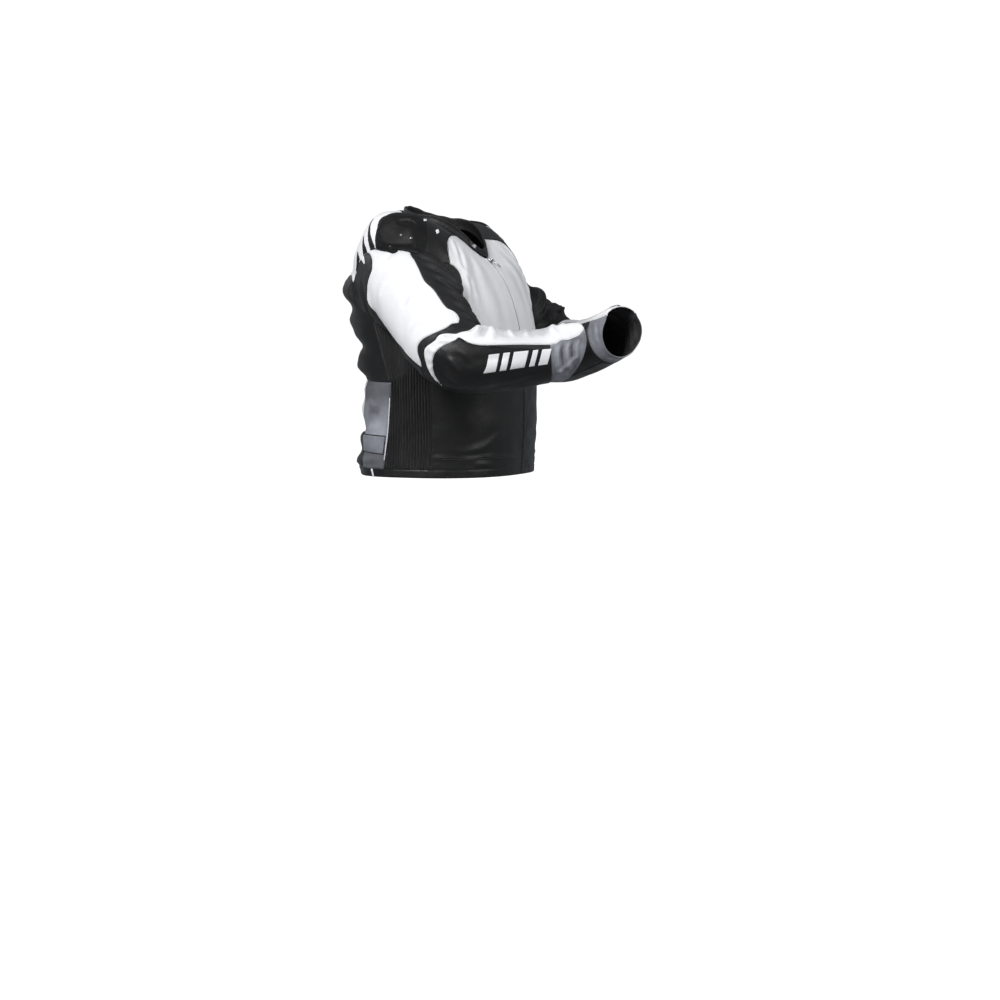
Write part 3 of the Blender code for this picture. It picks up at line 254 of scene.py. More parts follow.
class Arm:
    """The bent axis of one sleeve: straight, an arc at the elbow, straight."""

    def __init__(self, side):
        self.side = side
        self.shoulder, elbow, wrist = (np.array(p) for p in ARMS[side])
        self.down, self.fore = unit(elbow - self.shoulder), unit(wrist - elbow)
        self.across = unit(np.cross(self.down, self.fore)) * -side
        bend_cosine = self.down @ self.fore
        self.bend = math.acos(bend_cosine)
        tangent = ELBOW_BEND * math.tan(self.bend / 2)
        self.upper = np.linalg.norm(elbow - self.shoulder) - tangent
        self.length = self.upper + ELBOW_BEND * self.bend + np.linalg.norm(wrist - elbow) - tangent
        self.inward = unit(self.fore - bend_cosine * self.down)
        self.centre = self.shoulder + self.down * self.upper + self.inward * ELBOW_BEND

    def axis(self, distance):
        """The axis point and the unit vector to the outside of the bend, at a distance along the axis."""
        turn = np.clip((distance - self.upper) / ELBOW_BEND, 0, self.bend)[..., None]
        outward = np.sin(turn) * self.down - np.cos(turn) * self.inward
        before = np.minimum(distance - self.upper, 0)[..., None]
        after = np.maximum(distance - self.upper - ELBOW_BEND * self.bend, 0)[..., None]
        return self.centre + outward * ELBOW_BEND + self.down * before + self.fore * after, outward

    def point(self, angle, run):
        """The point of the sleeve surface. Its head eases from the armhole loop to round sections."""
        angle, run = np.broadcast_arrays(np.asarray(angle, float), np.asarray(run, float))
        first = SLEEVE_ANGLES[0]
        loop = np.interp(first + (angle - first) % 360, SLEEVE_ANGLES, LOOPS)
        hole_angle, hole_level = armhole(loop)
        hole = body_point(self.side * hole_angle, hole_level) - self.shoulder
        start = hole @ self.down
        part = np.clip(run / SLEEVE_HEAD, 0, 1)
        distance = np.where(
            run < SLEEVE_HEAD,
            start * (1 - part) + SLEEVE_HEAD * self.length * part,
            run * self.length,
        )
        centre, outward = self.axis(distance)
        in_plane, across = np.moveaxis(smooth_between(run, SLEEVE), -1, 0)
        turn = np.radians(angle)
        section = (
            outward * (in_plane * np.cos(turn))[..., None]
            + self.across * (across * np.sin(turn))[..., None]
        )
        ease = (1 - (1 - part) ** HEAD_EASE)[..., None]
        points = centre + (hole - start[..., None] * self.down) * (1 - ease) + section * ease
        return self.clear_of_body(points, run)

    def clear_of_body(self, points, run):
        """The points moved sideways out of the body, where the sleeve hangs against its side."""
        rise = np.interp(points[..., 2], [row[3] for row in BODY[:6]], range(6))
        rows = smooth_rows(BODY, rise)
        depth = np.where(points[..., 1] < 0, rows[..., 1], rows[..., 2])
        across = np.clip(1 - np.abs(points[..., 1] / depth) ** rows[..., 6], 0, 1) ** (1 / rows[..., 6])
        wanted = rows[..., 0] * across + SLEEVE_CLEARANCE * np.clip(run / CLEARANCE_RUN, 0, 1)
        short = wanted - self.side * points[..., 0]
        short = (short + np.sqrt(short**2 + CLEARANCE_SOFT**2)) / 2
        below = soft_step((ARMPIT_Z - points[..., 2]) / SLEEVE_CLEARANCE) * np.clip(run / CLEARANCE_RUN, 0, 1)
        points = points.copy()
        points[..., 0] += self.side * short * below * (across > 0)
        return points


def value_noise(points, size, seed):
    """Smooth noise from -1 to 1 with features of about that size in metres."""
    place = points / size + 31.7 * seed
    low = np.floor(place).astype(np.int64)
    part = place - low
    part = part**3 * (part * (6 * part - 15) + 10)
    total = np.zeros(points.shape[:-1])
    for corner in np.ndindex(2, 2, 2):
        cell = low + corner
        mixed = cell[..., 0] * 73856093 ^ cell[..., 1] * 19349663 ^ cell[..., 2] * 83492791 ^ seed * 2654435
        mixed = (mixed ^ (mixed >> 13)) * 1274126177
        weight = np.prod(np.where(np.array(corner) == 1, part, 1 - part), axis=-1)
        total += weight * (((mixed ^ (mixed >> 16)) & 0xFFFF) / 32767.5 - 1)
    return total


def nearest_on(points, path):
    """The nearest of a path's points to each point, and how far off it is."""
    index, away = np.empty(len(points), int), np.empty(len(points))
    for part in np.array_split(np.arange(len(points)), len(points) // 4000 + 1):
        squared = ((points[part, None] - path[None]) ** 2).sum(-1)
        index[part] = squared.argmin(1)
        away[part] = np.sqrt(squared.min(1))
    return index, away


def creases(points, strokes):
    """How far strokes (path, width, height, share that fades) move the points out, with hollows at their feet."""
    flat = points.reshape(-1, 3)
    total = np.zeros(len(flat))
    for path, width, height, ends in strokes:
        low, high = path.min(0) - 3 * width, path.max(0) + 3 * width
        near = np.flatnonzero(((flat > low) & (flat < high)).all(1))
        if not near.size:
            continue
        closest, away = nearest_on(flat[near], path)
        away = away / width
        along = closest / (len(path) - 1)
        taper = soft_step(np.minimum(along, 1 - along) / ends)
        hollow = HOLLOW * np.exp(-((away - HOLLOW_AT) ** 2) / HOLLOW_SPREAD) if width < PADDING_WIDTH else 0.0
        total[near] += height * taper * (np.exp(-(away**2)) - hollow)
    return total.reshape(points.shape[:-1])


# ---- seam lines, each with DENSE steps for every piece of the CAD panel's edge


def joined(*lines):
    return np.concatenate([lines[0], *(each[1:] for each in lines[1:])])


def line(points, pieces, scale=BODY_SCALE):
    """A smooth line through (u, v) rows, with its steps even in metres."""
    rows = np.asarray(points, float)
    fine = smooth_rows(rows, np.linspace(0, len(rows) - 1, 40 * len(rows)))
    run = run_of(fine, scale)
    return at_run(np.linspace(0, run[-1], pieces * DENSE + 1), run, fine)


def straight(start, end, pieces=1):
    return np.linspace(start, end, pieces * DENSE + 1)


def loop_arc(start, end, pieces):
    """Armhole points in (angle, level) from one loop angle to another."""
    return np.stack(armhole(np.linspace(start, end, pieces * DENSE + 1) % 360), -1)


def loop_at(loop):
    return np.stack(armhole(np.array(loop % 360)), -1)


def sleeve_arc(start, end, pieces):
    """The same armhole points as (sleeve angle, 0). Loop angles run on past 360 or below 0."""
    loop = np.linspace(start, end, pieces * DENSE + 1)
    turns = np.floor(loop / 360)
    angle = np.interp(loop - 360 * turns, LOOPS, SLEEVE_ANGLES) + 360 * turns
    return np.stack([angle, 0 * angle], -1)


def zip_edge(low, high, pieces, half=ZIP_FLAP):
    """A line beside the zip, half a width from the centre front."""
    levels = np.linspace(low, high, pieces * DENSE + 1)
    rows = smooth_rows(BODY, levels)
    angles = np.degrees(np.arcsin((half / rows[:, 0]) ** (rows[:, 6] / 2)))
    return np.stack([angles, levels], -1)


def pinned(points, start, end):
    """A seam line eased at its two ends to the corners that it shares."""
    reach = min(2 * DENSE, len(points) // 2)
    fall = soft_step(1 - np.arange(len(points)) / reach)[:, None]
    return points + (start - points[0]) * fall + (end - points[-1]) * fall[::-1]


def resampled(points, pieces):
    """A seam line taken at the given piece numbers, with DENSE steps between each two."""
    place = np.interp(np.linspace(0, len(pieces) - 1, (len(pieces) - 1) * DENSE + 1), range(len(pieces)), pieces)
    return at_run(place, np.arange(len(points)) / DENSE, points)


def ring_line(table, angles):
    """Points at the given angles on a smooth line given as (angle, run) rows once round the sleeve."""
    rows = np.array(sorted((angle % 360, run) for angle, run in table))
    rows = np.concatenate([rows[-2:] - ONCE_ROUND, rows, rows[:2] + ONCE_ROUND])
    return np.stack([angles, smooth_between(angles % 360, rows)[:, 0]], -1)


def mirrored(points):
    """A seam on the far side, in angles that run on past 180 across the back."""
    return np.asarray(points) * (-1, 1) + (360, 0)


def across_back(points):
    return joined(points, mirrored(points)[::-1])


# ---- surfaces with their creases


def surface_normals(point, u, v, turn):
    du, dv = 0.4, 0.004
    back = np.where(v > 0.02, 0.01, 0.0)
    along_u = point(u + du, v) - point(u - du, v)
    along_v = point(u, v + dv - back) - point(u, v - back)
    return unit(np.cross(along_u, along_v) * turn)


def laid_strokes(point, strokes):
    """Strokes with their paths as points, evenly spaced on a surface."""
    made = []
    for places, width, height, *ends in strokes:
        rows = np.asarray(places, float)
        dense = smooth_rows(rows, np.linspace(0, len(rows) - 1, 12 * len(rows)))
        points = point(dense[:, 0], dense[:, 1])
        run = run_of(points)
        even = np.linspace(0, run[-1], max(int(run[-1] / STROKE_STEP), 6))
        made.append((at_run(even, run, points), width, height, *(ends or (STROKE_TAPER,))))
    return made


class Skin:
    """A surface with creases. Near the armholes its normals turn to those that body and sleeve share."""

    def __init__(self, side, point, strokes, seed):
        self.side, self.point, self.seed, self.strokes = side, point, seed, strokes

    def near_armhole(self, points):
        """How far each point is from the nearer armhole, up to FADE, and the shared normal there."""
        flat = points.reshape(-1, 3)
        away = np.full(len(flat), FADE)
        normals = np.zeros((len(flat), 3))
        for ring, shared in ARMHOLE_RINGS:
            close = np.flatnonzero(((flat > ring.min(0) - FADE) & (flat < ring.max(0) + FADE)).all(1))
            if close.size:
                nearest, distance = nearest_on(flat[close], ring)
                better = distance < away[close]
                away[close[better]] = distance[better]
                normals[close[better]] = shared[nearest[better]]
        return away.reshape(points.shape[:-1]), normals.reshape(points.shape)

    def laid(self, u, v):
        """Points of the smooth surface, unit normals and the height of the creases at (u, v)."""
        u, v = np.asarray(u, float), np.asarray(v, float)
        points = self.point(u, v)
        normals = surface_normals(self.point, u, v, self.side)
        away, shared = self.near_armhole(points)
        share = soft_step(1 - away / TURN)[..., None]
        normals = unit(normals * (1 - share) + shared * share)
        relief = creases(points, self.strokes)
        relief += BROAD[1] * value_noise(points, BROAD[0], self.seed)
        relief += FINE[1] * value_noise(points, FINE[0], self.seed + 7)
        return points, normals, relief * soft_step(away / FADE)


def armhole_ring(side):
    """Points round an armhole and the normals half way between the body's and the sleeve's."""
    angle, level = armhole(LOOPS[:-1])
    points = body_point(side * angle, level)
    body = surface_normals(on_side(side), angle, level, side)
    sleeve = surface_normals(ARM[side].point, SLEEVE_ANGLES[:-1], 0 * level, side)
    return points, unit(body + sleeve)


ARM = {side: Arm(side) for side in SIDES.values()}
ARMHOLE_RINGS = [armhole_ring(side) for side in SIDES.values()]


# ---- shells


def spread(one, other, cell):
    """Places along two facing edges, about a cell apart and closer at both ends, as shares of the edges."""
    gaps = np.maximum(np.linalg.norm(np.diff(one, axis=0), axis=1), np.linalg.norm(np.diff(other, axis=0), axis=1))
    run = np.concatenate([[0], np.cumsum(gaps)])
    cells = max(round(run[-1] / cell), 3)
    size = run[-1] / cells
    near = np.array(EDGE_PLACES) * min(size, CELL)
    inner = np.arange(1, cells) * size
    places = np.concatenate([near, inner, run[-1] - near[::-1]])
    return np.interp(places, run, np.linspace(0, 1, len(run)))


def at(edge, places):
    return at_run(places, np.linspace(0, 1, len(edge)), edge)


def coons(point, bottom, top, start, end, cells):
    """Grid of (u, v) between four seam lines, in cells of about the given sizes."""
    s = spread(point(*bottom.T), point(*top.T), cells[0])
    t = spread(point(*start.T), point(*end.T), cells[1])
    low, high, first, last = at(bottom, s)[:, None], at(top, s)[:, None], at(start, t)[None], at(end, t)[None]
    s, t = s[:, None, None], t[None, :, None]
    corners = (1 - s) * ((1 - t) * bottom[0] + t * top[0]) + s * ((1 - t) * bottom[-1] + t * top[-1])
    return (1 - t) * low + t * high + (1 - s) * first + s * last - corners


def arcs(grid, axis):
    """Distance along the grid lines of an axis from its first side, in metres."""
    steps = np.linalg.norm(np.diff(grid, axis=axis), axis=-1)
    zero = np.zeros_like(np.take(steps, [0], axis=axis))
    return np.concatenate([zero, np.cumsum(steps, axis=axis)], axis=axis)


def grid_normals(grid, like):
    found = np.cross(np.gradient(grid, axis=0), np.gradient(grid, axis=1))
    found = found / np.maximum(np.linalg.norm(found, axis=-1, keepdims=True), 1e-12)
    return found * np.sign((found * like).sum(-1, keepdims=True))


def shell(name, outer, inner, finish, lining, closed=False, relief=None):
    """A closed shell between two grids, its outer face and rim in one finish and its inside in the lining."""
    columns, rows = outer.shape[:2]
    count = columns * rows
    spans = columns if closed else columns - 1
    index = np.arange(count).reshape(columns, rows)
    if closed:
        index = np.concatenate([index, index[:1]])
    a, b, c, d = index[:-1, :-1], index[1:, :-1], index[1:, 1:], index[:-1, 1:]
    front = np.stack([a, b, c, d], -1).reshape(-1, 4)
    back = front[:, ::-1] + count
    rims = [np.stack([index[1:, j], index[:-1, j], index[:-1, j] + count, index[1:, j] + count], -1)[:, ::step]
            for j, step in ((0, 1), (-1, -1))]
    if not closed:
        rims += [np.stack([index[i, :-1], index[i, 1:], index[i, 1:] + count, index[i, :-1] + count], -1)[:, ::step]
                 for i, step in ((0, 1), (-1, -1))]
    faces = np.concatenate([front, back, *rims])
    points = np.concatenate([outer.reshape(-1, 3), inner.reshape(-1, 3)])
    middle = (outer[:-1, :-1] + outer[1:, 1:])[: spans].reshape(-1, 3)
    under = (inner[:-1, :-1] + inner[1:, 1:])[: spans].reshape(-1, 3)
    out = np.cross(points[front[: len(middle), 2]] - points[front[: len(middle), 0]],
                   points[front[: len(middle), 3]] - points[front[: len(middle), 1]])
    if (out * (middle - under)).sum() < 0:
        faces = faces[:, ::-1]
    inside = np.zeros(len(faces), np.int32)
    inside[len(front) : 2 * len(front)] = 1
    across = np.stack([arcs(outer, 0), arcs(outer, 1)], -1).reshape(-1, 2)
    return mesh_piece(
        name, points, faces, [finish, lining], inside, np.concatenate([across, across]),
        None if relief is None else np.concatenate([relief.ravel(), relief.ravel()]),
    )


def mesh_piece(name, points, faces, finishes, indices=None, cut=None, relief=None, body="jacket"):
    """A mesh object in its finishes, which rides on a body of the frame. cut holds its UV, in metres."""
    mesh = bpy.data.meshes.new(name)
    faces = [tuple(int(k) for k in face) for face in faces]
    mesh.from_pydata(np.asarray(points, float).tolist(), [], faces)
    for finish in finishes:
        mesh.materials.append(FINISHES[finish])
    if indices is not None:
        mesh.polygons.foreach_set("material_index", np.asarray(indices, np.int32))
    corners = np.empty(len(mesh.loops), np.int32)
    mesh.loops.foreach_get("vertex_index", corners)
    if cut is not None:
        mesh.uv_layers.new(name="cut").data.foreach_set("uv", cut[corners].astype(np.float32).ravel())
    if relief is not None:
        mesh.attributes.new("relief", "FLOAT", "POINT").data.foreach_set("value", relief.astype(np.float32))
    mesh.shade_smooth()
    mesh.set_sharp_from_angle(angle=SHARP)
    mesh.update()
    piece = bpy.data.objects.new(name, mesh)
    bpy.context.scene.collection.objects.link(piece)
    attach(piece, body)
    return piece


def declare(grid):
    """Works out the width, length and area that a panel's outer face has now; the sizes are not kept."""
    width, length = arcs(grid, 0)[-1].max(), arcs(grid, 1)[:, -1].max()
    sides = np.cross(grid[1:, 1:] - grid[:-1, :-1], grid[:-1, 1:] - grid[1:, :-1])
    area = np.linalg.norm(sides, axis=-1).sum() / 2
    width, length = max(width, LEAST_SIDE), max(length, LEAST_SIDE)
    area = min(max(area, LEAST_FILL * width * length), width * length)


def panel(name, skin, seams, finish, thickness=LEATHER, closed=False, ribbed=False, free=(), stitched=()):
    """One panel of the jacket between its seams, with its edges rolled down into the seams."""
    grid = coons(skin.point, *seams, (RIB_CELL, RIB_ROW) if ribbed else (CELL, CELL))
    if closed:
        grid = grid[:-1]
    points, normals, relief = skin.laid(grid[..., 0], grid[..., 1])
    lift = relief.copy()
    edges = {"start": arcs(points, 0), "bottom": arcs(points, 1)}
    edges["end"] = edges["start"][-1:] - edges["start"]
    edges["top"] = edges["bottom"][:, -1:] - edges["bottom"]
    if closed:
        del edges["start"], edges["end"]
    nearest = np.minimum.reduce(list(edges.values()))
    for key, distance in edges.items():
        drop = FREE_DROP if key in free else EDGE_DROP
        lift -= drop * (1 - soft_step(distance / EDGE_ROLL))
        lift += SEAM_SWELL * np.exp(-(((distance - SEAM_SWELL_AT) / SEAM_SWELL_WIDTH) ** 2))
    pucker = value_noise(points, PUCKER_SIZE, skin.seed + 3) * PUCKER
    lift += pucker * np.exp(-nearest / PUCKER_REACH) * soft_step(nearest / EDGE_ROLL)
    if ribbed:
        sway = RIB_SWAY * value_noise(points * RIB_SWAY_STRETCH, RIB_SWAY_SIZE, skin.seed + 5)
        turn = 2 * math.pi * (points[..., 1] / RIB_PITCH + sway)
        wave = np.cos(turn) + 0.25 * np.cos(2 * turn)
        wear = 1 - 0.3 * value_noise(points, RIB_WEAR_SIZE, 2)
        lift += RIB_DEPTH * wave * soft_step(nearest / (2 * EDGE_ROLL)) * wear
    outer = points + normals * lift[..., None]
    inner = points + normals * (np.minimum(lift, relief + INSIDE_CAP) - thickness)[..., None]
    piece = shell(f"{name}_skin", outer, inner, finish, "lining", closed, lift)
    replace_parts(piece, name)
    declare(np.concatenate([outer, outer[:1]]) if closed else outer)
    facing = grid_normals(outer, normals)
    for key, distances in stitched:
        for distance in distances:
            THREADS[THREAD_OF[finish]].append(offset_line(outer, facing, key, distance))
    return outer, facing


def offset_line(grid, normals, edge, distance):
    """Points and normals at a distance inside one edge of a grid."""
    turned = {"start": (grid, normals), "end": (grid[::-1], normals[::-1])}
    over, facing = grid.transpose(1, 0, 2), normals.transpose(1, 0, 2)
    turned.update({"bottom": (over, facing), "top": (over[::-1], facing[::-1])})
    grid, normals = turned[edge]
    run = arcs(grid, 0)
    low = np.clip((run <= distance).sum(0) - 1, 0, len(grid) - 2)
    column = np.arange(grid.shape[1])
    first, last = run[low, column], run[low + 1, column]
    share = np.clip((distance - first) / np.maximum(last - first, 1e-9), 0, 1)[:, None]
    points = grid[low, column] * (1 - share) + grid[low + 1, column] * share
    return points, unit(normals[low, column] * (1 - share) + normals[low + 1, column] * share)


def stitch_mesh(name, rows, finish):
    """All the stitches of one thread: short spindles with pointed ends along each row."""
    corners, faces, total = [], [], 0
    turn = np.array([0.0, 0.5, 1.0, 1.5]) * math.pi
    for points, normals in rows:
        run = run_of(points)
        pitch = STITCH + STITCH_GAP
        count = int((run[-1] - 2 * STITCH) / pitch)
        if count < 1:
            continue
        first = (run[-1] - count * pitch) / 2 + np.arange(count) * pitch
        ends = at_run(first, run, points), at_run(first + STITCH, run, points)
        normal = unit(at_run(first + STITCH / 2, run, normals))
        along = unit(ends[1] - ends[0])
        side = np.cross(along, normal)
        ring = normal[:, None] * np.cos(turn)[None, :, None] + side[:, None] * np.sin(turn)[None, :, None]
        lifted = [end + normal * STITCH_LIFT for end in ends]
        span = (lifted[1] - lifted[0])[:, None]
        rings = [lifted[0][:, None] + span * share + ring * STITCH_RADIUS for share in (0.2, 0.8)]
        sunk = [end - normal * STITCH_RADIUS for end in ends]
        stack = np.concatenate([sunk[0][:, None], rings[0], rings[1], sunk[1][:, None]], 1)
        base = total + 10 * np.arange(count)[:, None]
        corners.append(stack.reshape(-1, 3))
        for k in range(4):
            after = (k + 1) % 4
            faces += np.stack([base, base + 1 + after, base + 1 + k], 1)[:, :, 0].tolist()
            faces += np.stack([base + 1 + k, base + 1 + after, base + 5 + after, base + 5 + k], 1)[:, :, 0].tolist()
            faces += np.stack([base + 5 + k, base + 5 + after, base + 9], 1)[:, :, 0].tolist()
        total += 10 * count
    mesh_piece(name, np.concatenate(corners), faces, [finish])


# ---- creases, given as (path, width, height). Body paths are in (angle, level), sleeve paths in
# (angle, run), and a height below zero is a trough.

FRONT_CREASES = (
    # Long soft folds down the chest.
    (((40, 6.3), (36, 5.3), (38, 4.2), (34, 3.2)), 0.012, 0.0013),
    (((30, 6.4), (29, 5.4), (30, 4.4), (33, 3.4)), 0.012, -0.0009),
    (((24, 6.2), (22, 5.2), (20, 4.2), (22, 3.2)), 0.015, 0.0010),
    (((15, 6.0), (15, 5.0), (13, 4.0), (14, 3.0)), 0.014, -0.0007),
    (((46, 4.1), (42, 3.6), (34, 3.1), (24, 2.8)), 0.012, 0.0018),
    (((48, 6.0), (44, 5.5), (42, 5.0)), 0.006, 0.0020),
    (((41.5, 4.75), (40, 4.30), (42.5, 3.80), (46, 3.35)), 0.007, 0.0026),
    (((38, 4.60), (36.5, 4.15), (38, 3.65)), 0.006, -0.0016),
    (((44, 5.9), (40, 5.4), (39, 4.9), (41, 4.5)), 0.005, -0.0014),
    (((45, 5.0), (40, 4.7), (33, 4.5)), 0.007, 0.0018),
    (((42, 4.4), (36, 4.1), (29, 3.9)), 0.007, 0.0014),
    (((62, 2.9), (50, 2.7), (36, 2.6), (20, 2.7)), 0.013, 0.0020),
    # Pull lines across the lower front.
    (((66, 0.50), (52, 0.52), (38, 0.62), (26, 0.80), (14, 0.98)), 0.008, 0.0016),
    (((60, 0.44), (46, 0.48), (34, 0.56)), 0.006, -0.0008),
    (((74, 0.43), (52, 0.42), (30, 0.43), (8, 0.42)), 0.004, 0.0010, 0.05),
    (((60, 0.30), (50, 0.36), (40, 0.33), (32, 0.26)), 0.006, 0.0012),
    (((46, 0.22), (36, 0.28), (26, 0.25)), 0.005, 0.0014),
    (((66, 1.30), (48, 1.12), (30, 1.10), (12, 1.22)), 0.020, 0.0012),
    # The grey side panels and the end of the waist strap.
    (((103, 1.5), (112, 1.42), (124, 1.5)), 0.007, 0.0018),
    (((104, 1.22), (114, 1.30), (128, 1.20)), 0.007, -0.0014),
    (((102, 0.98), (114, 1.02), (130, 0.94)), 0.008, 0.0020),
    (((103, 0.32), (116, 0.38), (132, 0.30)), 0.006, 0.0020),
    (((110, 0.24), (124, 0.22), (136, 0.28)), 0.005, -0.0014),
)
BACK_CREASES = (
    # Folds right across the back, deepest behind the arms and above the waist.
    (((104, 4.35), (124, 4.42), (150, 4.45), (182, 4.50), (212, 4.45), (238, 4.42), (256, 4.35)), 0.031, 0.0070),
    (((110, 3.48), (128, 3.58), (146, 3.62), (170, 3.64), (200, 3.60), (250, 3.50)), 0.012, 0.0060),
    (((104, 3.50), (124, 3.69), (140, 3.78), (160, 3.86), (184, 3.72), (208, 3.84), (232, 3.72), (254, 3.55)),
     0.024, 0.0215),
    (((106, 3.10), (125, 3.06), (145, 3.06), (168, 3.12), (190, 3.0), (215, 3.10), (240, 3.06), (254, 3.12)),
     0.022, 0.0150),
    (((102, 2.60), (122, 2.50), (145, 2.46), (170, 2.54), (195, 2.42), (222, 2.52), (258, 2.6)), 0.0135, -0.0135),
    (((110, 2.20), (130, 2.16), (150, 2.20), (175, 2.12), (200, 2.22), (228, 2.14), (250, 2.2)), 0.012, -0.0060),
    (((100, 1.98), (122, 1.90), (145, 1.89), (172, 1.96), (198, 1.86), (226, 1.94), (258, 1.98)), 0.0135, -0.0145),
    (((106, 1.64), (135, 1.68), (180, 1.64), (225, 1.70), (254, 1.66)), 0.022, -0.0115),
    (((118, 0.97), (150, 0.95), (200, 0.96), (240, 0.97)), 0.006, -0.0055),
    (((112, 0.54), (140, 0.52), (170, 0.50), (210, 0.52), (246, 0.54)), 0.012, -0.0075),
    (((116, 1.04), (150, 1.02), (185, 1.08), (222, 1.02), (244, 1.06)), 0.012, -0.0070),
    (((108, 0.50), (140, 0.48), (180, 0.44), (220, 0.50), (252, 0.50)), 0.034, 0.0085),
    (((110, 0.18), (145, 0.22), (180, 0.18), (215, 0.22), (250, 0.2)), 0.022, 0.0050),
    # Padded yoke over the shoulder blades, then folds that run down from it.
    (((98, 4.85), (108, 5.30), (116, 5.75), (134, 6.28), (160, 6.52), (200, 6.52), (226, 6.28), (244, 5.75),
      (252, 5.30), (262, 4.85)), 0.050, 0.0150, 0.13),
    (((150, 5.7), (156, 5.2), (166, 4.7)), 0.013, 0.0020),
    (((208, 5.6), (204, 5.1), (192, 4.6)), 0.014, 0.0022),
    (((172, 5.4), (178, 4.9), (186, 4.4)), 0.012, -0.0018),
    (((138, 3.42), (152, 3.38), (170, 3.44)), 0.010, 0.0026),
    (((214, 3.44), (198, 3.36), (184, 3.42)), 0.010, 0.0022),
    (((140, 1.42), (156, 1.34), (172, 1.42)), 0.012, 0.0022),
    (((220, 1.34), (202, 1.40), (186, 1.30)), 0.012, 0.0020),
    (((146, 0.80), (160, 0.74), (174, 0.82)), 0.012, 0.0018),
    (((216, 0.78), (200, 0.84), (184, 0.76)), 0.012, -0.0016),
)
LEFT_CREASES = (
    (((140, 0.02), (160, 0.12), (172, 0.25), (178, 0.40)), 0.055, -0.0140, 0.15),
    (((128, 0.03), (132, 0.10), (134, 0.17), (136, 0.23)), 0.050, -0.0190, 0.3),
    (((124, 0.34), (134, 0.375), (142, 0.42)), 0.026, 0.0080, 0.3),
    (((128, 0.40), (138, 0.45), (146, 0.50)), 0.034, 0.0100, 0.3),
)
RIGHT_CREASES = (
    (((150, 0.20), (170, 0.245), (190, 0.28)), 0.014, -0.0060),
    (((148, 0.41), (166, 0.405), (186, 0.41)), 0.010, 0.0050),
    (((160, 0.215), (168, 0.255), (172, 0.315)), 0.030, -0.0085, 0.3),
)
